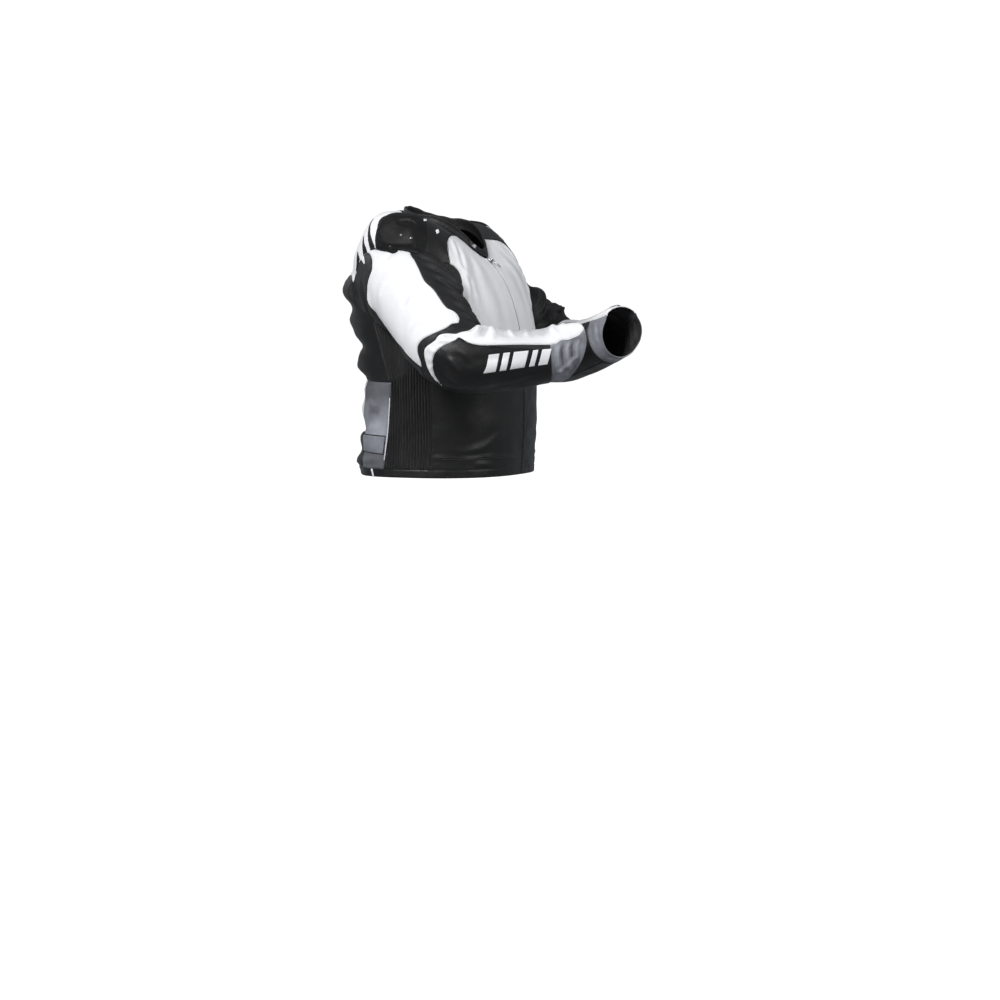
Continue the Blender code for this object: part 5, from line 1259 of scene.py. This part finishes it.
def forearm_bars(name, skin):
    """A row of slanted bars of different widths along the outer forearm."""
    first, last = np.array(FOREARM_ROW, float)
    rise = np.add(BAR_HEIGHT, BAR_LEAN)
    place = 0.0
    for number, (width, gap) in enumerate(FOREARM_BARS, 1):
        start, end = first + (last - first) * place, first + (last - first) * (place + width)
        corners = start, end, end + rise, start + rise
        patch(f"forearm_bar_{name}_{number}", skin, corners, BAR_CELL, BAR_THICKNESS, "white_leather")
        place += width + gap


def sleeve_trim(name, skin):
    node = f"cuff_zip_{name}"
    outer, facing = patch(f"{node}_tape", skin, CUFF_ZIP, FINE_CELL, CUFF_TAPE, "tape", node)
    middle = len(outer) // 2
    teeth(f"cuff_teeth_{name}", outer[middle], facing[middle], CUFF_TOOTH_PITCH, CUFF_TOOTH, CUFF_TOOTH_LIFT)
    first, last = (sleeve_arc(loop, loop, 1)[0] - ONCE_ROUND + (0, YOKE_TIP_START) for loop in YOKE_TIP)
    patch(f"yoke_tip_{name}_leather", skin, (first, last, *YOKE_TIP_FOOT), TIP_CELL, TIP_THICKNESS, "white_leather")
    lobe = line(CUP_LOBE, 4, SLEEVE_SCALE)
    root = straight((CUP_LOBE[0][0], 0), (CUP_LOBE[-1][0], 0), 4)
    sides = straight(root[0], lobe[0]), straight(root[-1], lobe[-1])
    grid = coons(skin.point, root, lobe, *sides, (CELL, CELL))
    applied(f"cup_lobe_{name}_shell", skin, grid, CUP_EDGE, "gloss", sheet=False)
    forearm_bars(name, skin)


# ---- neck and zip

COLLAR_ABOVE, COLLAR_LEAN, COLLAR_INSIDE = 0.019, 0.004, 0.0018
COLLAR_START, COLLAR_END_STEPS, COLLAR_COLUMNS, FOOT_CLEAR, FOOT_SUNK = 4.0, (0.0, 0.2, 0.6, 1.6), 220, 8.0, 0.0006
# (height share, how far out) up the outer face, over the top and down the inside
COLLAR_PROFILE = (
    (-0.26, 0.0024), (-0.21, 0.0032), (-0.16, 0.0031), (-0.10, 0.0017), (-0.05, 0.0001), (0.00, -0.0008),
    (0.03, -0.0004), (0.10, 0.0004), (0.30, 0.0009), (0.52, 0.0008), (0.66, 0.0003), (0.71, -0.0004), (0.75, 0.0004),
    (0.86, 0.0008), (0.95, 0.0002), (1.00, -0.0012), (1.00, -0.0026), (0.94, -0.0038), (0.80, -0.0042),
    (0.55, -0.0038), (0.25, -0.0038), (0.0, -0.0036), (-0.26, -0.0034),
)
COLLAR_WAVES = ((0.0007, 7, 20), (0.0005, 17, 0))  # (height, waves round, start in degrees) of its top edge
TAB_START, TAB_END, TAB_LOW, TAB_HIGH, TAB_LIFT = -34.0, 12.0, 0.0035, 0.0165, 0.0008
TAB_RIM, TAB_DOME, TAB_BEND, TAB_STITCH = 0.0008, 0.0012, 0.0006, 0.0018
TAB_ROWS = (0, 0.06, 0.14, 0.3, 0.5, 0.7, 0.86, 0.94, 1)
SNAP_ANGLE, SNAP_RADIUS, SNAP_RISE = -26.0, 0.0045, 0.0022
TAPE_HALF, TAPE_SUNK, TAPE_THICKNESS, TAPE_FROM_CENTRE, TAPE_CUP = 0.0105, 0.0022, 0.0007, 0.00015, 0.0002
TOOTH_PITCH, TOOTH, TOOTH_LIFT = 0.0026, (0.0024, 0.0012, 0.0014), 0.0006
TOOTH_LEAN = 0.18
TOOTH_CORNERS = (
    (-1, -1, 0), (1, -1, 0), (1, 1, 0), (-1, 1, 0), (-0.6, -0.7, 1), (0.6, -0.7, 1), (0.6, 0.7, 1), (-0.6, 0.7, 1),
)
TOOTH_FACES = ((3, 2, 1, 0), (4, 5, 6, 7), (0, 1, 5, 4), (1, 2, 6, 5), (2, 3, 7, 6), (3, 0, 4, 7))
SLIDER_LEVEL, SLIDER_LIFT, SLIDER_HEIGHT = 6.35, 0.0006, 0.0036
# Halves of outlines symmetric about the zip's line, in (across, up).
SHIELD_HALF = (
    (0.0024, -0.0060), (0.0040, -0.0046), (0.0036, -0.0015), (0.0045, 0.0030), (0.0040, 0.0052), (0.0018, 0.0060),
)
SHIELD_NOTCH = (0, 0.0050)
LUG_HALF = ((0.0020, 0.0030), (0.0019, 0.0060), (0.0010, 0.0074))
TAB_HALF = (
    (0.0022, -0.0004), (0.0019, -0.0070), (0.0017, -0.0100), (0.0022, -0.0130), (0.0022, -0.0238), (0.0012, -0.0258),
)
LUG_ASIDE, LUG_DOWN, LUG_THICKNESS, HINGE_OUT, FINE_BEVEL = 0.00315, 0.0020, 0.0013, 0.00598, 0.0002
BARREL_SIDES, BARREL_RADIUS, BARREL_HALF, TAB_HALF_THICKNESS = 16, 0.0011, 0.0022, 0.0006


def collar_face(angles, heights, out):
    """Points of the collar's outer face at angles and heights over the neck, moved out, and unit normals."""
    angle, height = np.meshgrid(angles, heights, indexing="ij")
    foot = body_point(angle, NECK)
    ahead = body_point(angle + 0.5, NECK) - body_point(angle - 0.5, NECK)
    ahead[..., 2] = 0
    outward = unit(np.cross(ahead, (0, 0, 1)))
    lean = COLLAR_LEAN * np.clip(height, 0, None) / COLLAR_ABOVE + COLLAR_INSIDE
    points = foot + outward * (np.asarray(out) - lean)[..., None]
    return points + height[..., None] * np.array((0, 0, 1)), outward


def collar():
    """The stand collar: a soft band, fuller between its seam and its bound top edge."""
    ends = COLLAR_START + np.array(COLLAR_END_STEPS)
    angles = np.concatenate([ends[:-1], np.linspace(ends[-1], 360 - ends[-1], COLLAR_COLUMNS), 360 - ends[-2::-1]])
    shares, out = np.array(COLLAR_PROFILE).T
    # The foot swells out under the neck seam, except beside the zip.
    near_zip = np.minimum(angles, 360 - angles)
    swell = soft_step((near_zip - FOOT_CLEAR) / FOOT_CLEAR)[:, None] * np.where(shares < 0, out.clip(0), 0)
    out = np.where(shares < 0, np.minimum(out, -FOOT_SUNK), out) + swell
    wave = sum(height * np.sin(np.radians(angles * waves + start)) for height, waves, start in COLLAR_WAVES)
    points, _ = collar_face(angles, shares * COLLAR_ABOVE, out)
    points[..., 2] += wave[:, None] * np.clip(shares, 0, 1)[None]
    rings, around = points.shape[:2]
    index = np.arange(rings * around).reshape(rings, around)
    faces = []
    for k in range(around):
        after = (k + 1) % around
        faces += np.stack([index[:-1, k], index[1:, k], index[1:, after], index[:-1, after]], -1).tolist()
    faces += [tuple(index[0]), tuple(index[-1][::-1])]
    cut = np.stack([arcs(points, 0), arcs(points, 1)], -1).reshape(-1, 2)
    piece = mesh_piece("collar_band", points.reshape(-1, 3), faces, ["stretch"], cut=cut)
    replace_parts(piece, "collar")


def collar_tab():
    """The tab across the front of the collar, closed by a snap."""
    angles = np.linspace(TAB_START, TAB_END, 50)
    heights = TAB_LOW + (TAB_HIGH - TAB_LOW) * np.array(TAB_ROWS)
    across, along = np.linspace(0, 1, len(heights))[None], np.linspace(0, 1, len(angles))[:, None]
    edge = np.minimum(np.minimum(across, 1 - across) * 12, np.minimum(along, 1 - along) * 46)
    bend = TAB_BEND * np.sin(along * 9) * np.sin(across * 3)
    foot, _ = collar_face(angles, heights, TAB_LIFT + 0 * edge)
    outer, outward = collar_face(angles, heights, TAB_LIFT + TAB_RIM + TAB_DOME * soft_step(edge / 1.5) + bend)
    piece = shell("collar_tab_leather", outer, foot, "black_leather", "black_leather")
    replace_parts(piece, "collar_tab")
    declare(outer)
    facing = grid_normals(outer, outward)
    for key in ("top", "bottom", "start", "end"):
        THREADS["grey"].append(offset_line(outer, facing, key, TAB_STITCH))
    middle = np.array([(TAB_LOW + TAB_HIGH) / 2])
    base, outward = collar_face(np.array([SNAP_ANGLE]), middle, np.array([[TAB_LIFT + TAB_RIM + TAB_DOME]]))
    axis = outward[0, 0] + (0, 0, COLLAR_LEAN / COLLAR_ABOVE)
    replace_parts(rivet("collar_snap_cap", base[0, 0], axis, SNAP_RADIUS, SNAP_RISE), "collar_snap")


def teeth(name, centre, normals, pitch, size, lift):
    """Moulded zip teeth along a line, each leaning to its own side."""
    run = run_of(centre)
    where = np.arange(pitch, run[-1] - pitch, pitch)
    middle, normal = at_run(where, run, centre), unit(at_run(where, run, normals))
    along = unit(np.gradient(middle, axis=0))
    aside = np.cross(along, normal)
    lean = np.where(np.arange(len(where)) % 2 == 0, 1, -1)[:, None]
    corners = [
        middle + aside * (x * size[0] / 2 + lean * size[0] * TOOTH_LEAN) + along * y * size[1] / 2
        + normal * (z * size[2] + lift) for x, y, z in TOOTH_CORNERS
    ]
    points = np.stack(corners, 1).reshape(-1, 3)
    faces = [tuple(8 * k + corner for corner in face) for k in range(len(where)) for face in TOOTH_FACES]
    mesh_piece(name, points, faces, ["teeth"])


def zip_tapes():
    levels = np.linspace(0, NECK, 260)
    rows = smooth_rows(BODY, levels)
    for name, side in SIDES.items():
        width = np.linspace(0, 1, 6)[:, None] * TAPE_HALF + TAPE_FROM_CENTRE
        angles = np.degrees(np.arcsin((width / rows[:, 0]) ** (rows[:, 6] / 2)))
        level = np.broadcast_to(levels, angles.shape)
        normals = surface_normals(on_side(side), angles, level, side)
        depth = TAPE_SUNK + TAPE_CUP * np.cos(width * math.pi / TAPE_HALF)
        outer = body_point(side * angles, level) - normals * depth[..., None]
        inner = outer - normals * TAPE_THICKNESS
        piece = shell(f"zip_tape_{name}_fabric", outer, inner, "tape", "tape")
        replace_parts(piece, f"zip_tape_{name}")
        declare(outer)
    centre = body_point(0 * levels, levels)
    along = unit(np.gradient(centre, axis=0))
    normals = unit(np.cross((1.0, 0.0, 0.0), along))
    normals = normals * -np.sign(normals[:, 1:2])
    teeth("zip_teeth", centre - normals * TAPE_SUNK, normals, TOOTH_PITCH, TOOTH, TOOTH_LIFT)


def plate(name, outline, rows, origin, low, high, body="jacket", bevel=FINE_BEVEL):
    """A flat metal part with bevelled edges, from an outline in the plane of the first two rows."""
    outline = np.array(outline, float)
    inward = unit(outline.mean(0) - outline) * bevel
    layers = ((outline + inward, low), (outline, low + bevel), (outline, high - bevel), (outline + inward, high))
    points = np.concatenate([origin + flat @ rows[:2] + rows[2] * height for flat, height in layers])
    return mesh_piece(name, points, lofted(len(layers), len(outline)), ["metal"], body=body)


def both_halves(half, *between):
    """An outline made of its right half, any points on the middle line, and the half's mirror image."""
    mirror = [(-x, y) for x, y in half]
    return mirror[0], *half, *between, *mirror[:0:-1]


def slider_and_pull():
    """The slider, closed at the neck, with two lugs that hold the pull's barrel."""
    point = body_point(np.array(0.0), np.array(SLIDER_LEVEL))
    up = unit(body_point(0.0, SLIDER_LEVEL + 0.05) - body_point(0.0, SLIDER_LEVEL - 0.05))
    across = np.array((1.0, 0.0, 0.0))
    out = unit(np.cross(across, up))
    seat = point + out * SLIDER_LIFT
    rows, sideways = np.array([across, up, out]), np.array([up, out, across])
    shield = both_halves(SHIELD_HALF, SHIELD_NOTCH)
    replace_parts(plate("slider_plate", shield, rows, seat, 0.0, SLIDER_HEIGHT, bevel=2 * FINE_BEVEL), "zip_slider")
    axle = seat - up * LUG_DOWN
    for letter, aside in (("l", -LUG_ASIDE), ("r", LUG_ASIDE)):
        plate(f"slider_lug_{letter}", both_halves(LUG_HALF), sideways, axle, aside - LUG_THICKNESS / 2,
              aside + LUG_THICKNESS / 2)
    hinge = axle + out * HINGE_OUT
    pull = plate("pull_tab", both_halves(TAB_HALF), rows, hinge, -TAB_HALF_THICKNESS, TAB_HALF_THICKNESS, "pull")
    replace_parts(pull, "zip_pull")
    plate("pull_barrel", circle(BARREL_SIDES) * BARREL_RADIUS, sideways, hinge, -BARREL_HALF, BARREL_HALF, "pull")


# ---- materials

FINISHES = {}
# Features per metre of each noise.
MOTTLE_SCALE, WEAR_SCALE, GRAIN_SCALE, PORE_SCALE, SHEEN_SCALE = 14.0, 70.0, 260.0, 620.0, 34.0
WRINKLES = ((46.0, 4.0, 0.0011), (130.0, 3.0, 0.0003))  # (scale, detail, rise)
GRAIN_RISE, YARN_RISE, SLACK_RISE = 0.00016, 0.00018, 0.0003
THREAD_COLOURS = {"white": (0.72, 0.72, 0.72), "black": (0.02, 0.02, 0.021), "grey": (0.10, 0.10, 0.105)}


class Finish:
    """A material whose nodes are added one after another."""

    def __init__(self, name, **constants):
        material = bpy.data.materials.new(name)
        material.use_nodes = True
        self.tree = material.node_tree
        self.shader = self.tree.nodes["Principled BSDF"]
        for socket, value in constants.items():
            self.shader.inputs[socket.replace("_", " ")].default_value = value
        FINISHES[name] = material

    def add(self, kind, inputs=None, **settings):
        node = self.tree.nodes.new(kind)
        for key, value in settings.items():
            setattr(node, key, value)
        for key, value in (inputs or {}).items():
            if isinstance(value, bpy.types.NodeSocket):
                self.tree.links.new(value, node.inputs[key])
            else:
                node.inputs[key].default_value = value
        return node

    def place(self):
        return self.add("ShaderNodeTexCoord").outputs["Object"]

    def noise(self, scale, detail=3.0):
        inputs = {"Vector": self.place(), "Scale": scale, "Detail": detail, "Roughness": 0.55}
        return self.add("ShaderNodeTexNoise", inputs).outputs["Fac"]

    def ranged(self, value, low, high, to_low=0.0, to_high=1.0):
        inputs = {"Value": value, "From Min": low, "From Max": high, "To Min": to_low, "To Max": to_high}
        return self.add("ShaderNodeMapRange", inputs).outputs["Result"]

    def sum(self, one, other, share=1.0):
        return self.add("ShaderNodeMath", {0: other, 1: share, 2: one}, operation="MULTIPLY_ADD").outputs[0]

    def blend(self, share, one, other):
        node = self.add("ShaderNodeMix", {"Factor": share}, data_type="RGBA")
        for socket, value in ((node.inputs[6], one), (node.inputs[7], other)):
            if isinstance(value, bpy.types.NodeSocket):
                self.tree.links.new(value, socket)
            else:
                socket.default_value = (*value, 1.0)
        return node.outputs[2]

    def relief(self):
        return self.add("ShaderNodeAttribute", attribute_name="relief").outputs["Fac"]

    def bump(self, height, distance, before=None):
        inputs = {"Height": height, "Distance": distance}
        if before is not None:
            inputs["Normal"] = before
        return self.add("ShaderNodeBump", inputs).outputs["Normal"]

    def finish(self, colour=None, roughness=None, normal=None):
        for name, value in (("Base Color", colour), ("Roughness", roughness), ("Normal", normal)):
            if value is not None:
                self.tree.links.new(value, self.shader.inputs[name])


def leather(name, base, other, trough_and_shade, worn, roughness, wrinkle=1.0, mottle=(0.35, 0.68), dark=(), **constants):
    """Leather with grain, fine wrinkles, darker troughs, rubbed ridges and, where bands of height are given, painted
    shade.
    """
    made = Finish(name, **constants)
    colour = made.blend(made.ranged(made.noise(MOTTLE_SCALE, 4.0), *mottle), base, other)
    relief = made.relief()
    colour = made.blend(made.ranged(relief, -0.0004, -0.0035, 0.0, 0.75), colour, trough_and_shade)
    ridges = made.sum(made.ranged(relief, 0.0010, 0.0050), made.noise(WEAR_SCALE), 0.35)
    colour = made.blend(made.ranged(ridges, 0.25, 0.9, 0.0, 0.6), colour, worn)
    height = made.add("ShaderNodeSeparateXYZ", {"Vector": made.place()}).outputs["Z"]
    # Painted shade: in each band of height the colour darkens, from the first height to the second.
    for unshaded, shaded in dark:
        colour = made.blend(made.ranged(height, unshaded, shaded, 0.0, 0.75), colour, trough_and_shade)
    cells = made.add("ShaderNodeTexVoronoi", {"Vector": made.place(), "Scale": PORE_SCALE}).outputs["Distance"]
    normal = None
    for scale, detail, rise in WRINKLES:
        normal = made.bump(made.noise(scale, detail), rise * wrinkle, normal)
    normal = made.bump(made.sum(made.noise(GRAIN_SCALE, 2.0), cells, 0.8), GRAIN_RISE, normal)
    made.finish(colour, made.ranged(made.noise(SHEEN_SCALE, 4.0), 0.3, 0.7, *roughness), normal)


def woven(name, base, other, roughness, pitch, **constants):
    """Stretch fabric or tape: two sets of yarns over and under."""
    made = Finish(name, **constants)
    cut = made.add("ShaderNodeTexCoord").outputs["UV"]
    scale = 2 * math.pi / (20 * pitch)
    yarns = [
        made.add("ShaderNodeTexWave", {"Vector": cut, "Scale": scale, "Distortion": 0.6}, bands_direction=way)
        .outputs["Fac"] for way in "XY"
    ]
    weave = made.add("ShaderNodeMath", {0: yarns[0], 1: yarns[1]}, operation="MULTIPLY").outputs[0]
    colour = made.blend(made.ranged(made.sum(weave, made.noise(22.0, 4.0), 1.2), 0.4, 1.5), base, other)
    normal = made.bump(weave, YARN_RISE, made.bump(made.noise(50.0, 4.0), SLACK_RISE))
    made.finish(colour, made.ranged(made.noise(30.0), 0.3, 0.7, *roughness), normal)


def mottled(name, scale, detail, base, other, roughness, rise, **constants):
    """A hard material with fine spots."""
    made = Finish(name, **constants)
    spots = made.noise(scale, detail)
    made.finish(made.blend(spots, base, other), made.ranged(spots, 0.3, 0.7, *roughness), made.bump(spots, rise))


def materials():
    leather("white_leather", (0.83, 0.83, 0.84), (0.77, 0.77, 0.79), (0.50, 0.50, 0.52), (0.86, 0.86, 0.87),
            (0.44, 0.56), 0.7)
    leather("black_leather", (0.0085, 0.0085, 0.009), (0.006, 0.006, 0.0065), (0.004, 0.004, 0.004),
            (0.024, 0.024, 0.025), (0.34, 0.50), 0.45, Specular_IOR_Level=0.33)
    leather("grey_leather", (0.24, 0.25, 0.28), (0.115, 0.12, 0.136), (0.07, 0.075, 0.088), (0.33, 0.34, 0.37),
            (0.42, 0.60), 0.8, (0.38, 0.66), Specular_IOR_Level=0.35)
    # The kidney leather has painted shade: darker towards its top and towards its bottom.
    leather("kidney_leather", (0.38, 0.395, 0.44), (0.23, 0.24, 0.27), (0.055, 0.056, 0.064), (0.42, 0.43, 0.47),
            (0.42, 0.60), 0.8, (0.36, 0.66), ((-0.440, -0.370), (-0.476, -0.494)), Specular_IOR_Level=0.30)
    woven("stretch", (0.0066, 0.0066, 0.0071), (0.014, 0.014, 0.015), (0.38, 0.52), 0.0012, Specular_IOR_Level=0.35)
    woven("tape", (0.008, 0.008, 0.008), (0.022, 0.022, 0.023), (0.5, 0.7), 0.0010)
    woven("lining", (0.014, 0.014, 0.015), (0.034, 0.034, 0.036), (0.7, 0.85), 0.0022)

    made = Finish("gloss", Specular_IOR_Level=0.19)
    scuffs = made.noise(60.0, 5.0)
    colour = made.blend(made.ranged(scuffs, 0.5, 0.75), (0.006, 0.006, 0.0065), (0.013, 0.013, 0.014))
    made.finish(colour, made.ranged(made.noise(120.0, 4.0), 0.3, 0.7, 0.44, 0.60), made.bump(scuffs, 0.00025))

    mottled("metal", 420.0, 4.0, (0.20, 0.20, 0.21), (0.36, 0.36, 0.37), (0.24, 0.42), 0.00004, Metallic=1.0)
    mottled("teeth", 500.0, 3.0, (0.015, 0.015, 0.015), (0.06, 0.06, 0.06), (0.3, 0.45), 0.00005)

    for name, colour in THREAD_COLOURS.items():
        made = Finish(f"{name}_thread")
        twist = made.add("ShaderNodeTexWave", {"Vector": made.place(), "Scale": 900.0, "Distortion": 2.0})
        dark = tuple(0.7 * c for c in colour)
        made.finish(made.blend(twist.outputs["Fac"], dark, colour), made.ranged(made.noise(300.0), 0, 1, 0.5, 0.7),
                    made.bump(twist.outputs["Fac"], 0.0001))


# ---- stage

CAMERA_AZIMUTH, CAMERA_AWAY, CAMERA_ASIDE = -66.0, 4.5, 0.119149
CAMERA_Z, AIM_Z, LENS = -0.25, -0.60, 76.14
FLOOR_Z, FLOOR_REACH = -1.42, 40.0
FLOOR = {
    "Base Color": (0.95, 0.95, 0.95, 1), "Roughness": 0.9, "Emission Color": (1, 1, 1, 1), "Emission Strength": 0.9,
}
LIT = (0.0, -0.1, -0.25)
BACKDROP, SKY = ((1, 1, 1, 1), 1.05), ((0.93, 0.96, 1, 1), 0.30)  # (colour, strength) seen and giving light
# (name, towards the camera, to its right, up, size, power), each aimed at the same place
LAMPS = (("key", 2.4, -1.6, 1.8, 1.3, 99.0), ("fill", 1.6, 2.6, 1.2, 1.8, 40.0), ("rim", -2.0, -1.6, 1.6, 1.4, 5.0))


def aimed(name, data, place, aim):
    """An object of the scene that looks from one place to another."""
    made = bpy.data.objects.new(name, data)
    made.location = place
    made.rotation_mode = "QUATERNION"
    made.rotation_quaternion = Vector(np.asarray(aim) - place).to_track_quat("-Z", "Y")
    bpy.context.scene.collection.objects.link(made)
    return made


def camera():
    turn = math.radians(CAMERA_AZIMUTH)
    back = np.array((math.sin(turn), -math.cos(turn), 0.0))
    right = np.array((math.cos(turn), math.sin(turn), 0.0))
    eye = back * CAMERA_AWAY + right * CAMERA_ASIDE + (0, 0, CAMERA_Z)
    aim = right * CAMERA_ASIDE + (0, 0, AIM_Z)
    lens = bpy.data.cameras.new("camera")
    lens.lens = LENS
    bpy.context.scene.camera = aimed("camera", lens, eye, aim)
    return back, right


def stage(back, right):
    up = np.array((0.0, 0.0, 1.0))
    for name, near, aside, above, size, power in LAMPS:
        light = bpy.data.lights.new(name, "AREA")
        light.shape, light.size, light.energy = "DISK", size, power
        aimed(name, light, LIT + back * near + right * aside + up * above, LIT)
    world = bpy.data.worlds.new("studio")
    world.use_nodes = True
    tree = world.node_tree
    tree.nodes.clear()
    path, mix = tree.nodes.new("ShaderNodeLightPath"), tree.nodes.new("ShaderNodeMixShader")
    output = tree.nodes.new("ShaderNodeOutputWorld")
    tree.links.new(path.outputs["Is Camera Ray"], mix.inputs[0])
    for socket, (colour, strength) in enumerate((SKY, BACKDROP), 1):
        background = tree.nodes.new("ShaderNodeBackground")
        background.inputs["Color"].default_value = colour
        background.inputs["Strength"].default_value = strength
        tree.links.new(background.outputs[0], mix.inputs[socket])
    tree.links.new(mix.outputs[0], output.inputs[0])
    bpy.context.scene.world = world

    material = bpy.data.materials.new("floor")
    material.use_nodes = True
    shader = material.node_tree.nodes["Principled BSDF"]
    for socket, value in FLOOR.items():
        shader.inputs[socket].default_value = value
    mesh = bpy.data.meshes.new("floor")
    corners = [(x * FLOOR_REACH, y * FLOOR_REACH, FLOOR_Z) for x, y in ((-1, -1), (1, -1), (1, 1), (-1, 1))]
    mesh.from_pydata(corners, [], [(0, 1, 2, 3)])
    mesh.materials.append(material)
    ground = bpy.data.objects.new("floor", mesh)
    bpy.context.scene.collection.objects.link(ground)
    ground.visible_diffuse = ground.visible_glossy = False
    bpy.context.scene.view_settings.view_transform = "Standard"


# ---- the whole

materials()
for side_name, side_sign in SIDES.items():
    body_panels(side_name, side_sign)
    sleeve_trim(side_name, sleeve_panels(side_name, side_sign))
    body_trim(side_name, side_sign)
back_panels()
collar()
collar_tab()
zip_tapes()
slider_and_pull()
for thread, rows in THREADS.items():
    stitch_mesh(f"{thread}_stitches", rows, f"{thread}_thread")
stage(*camera())
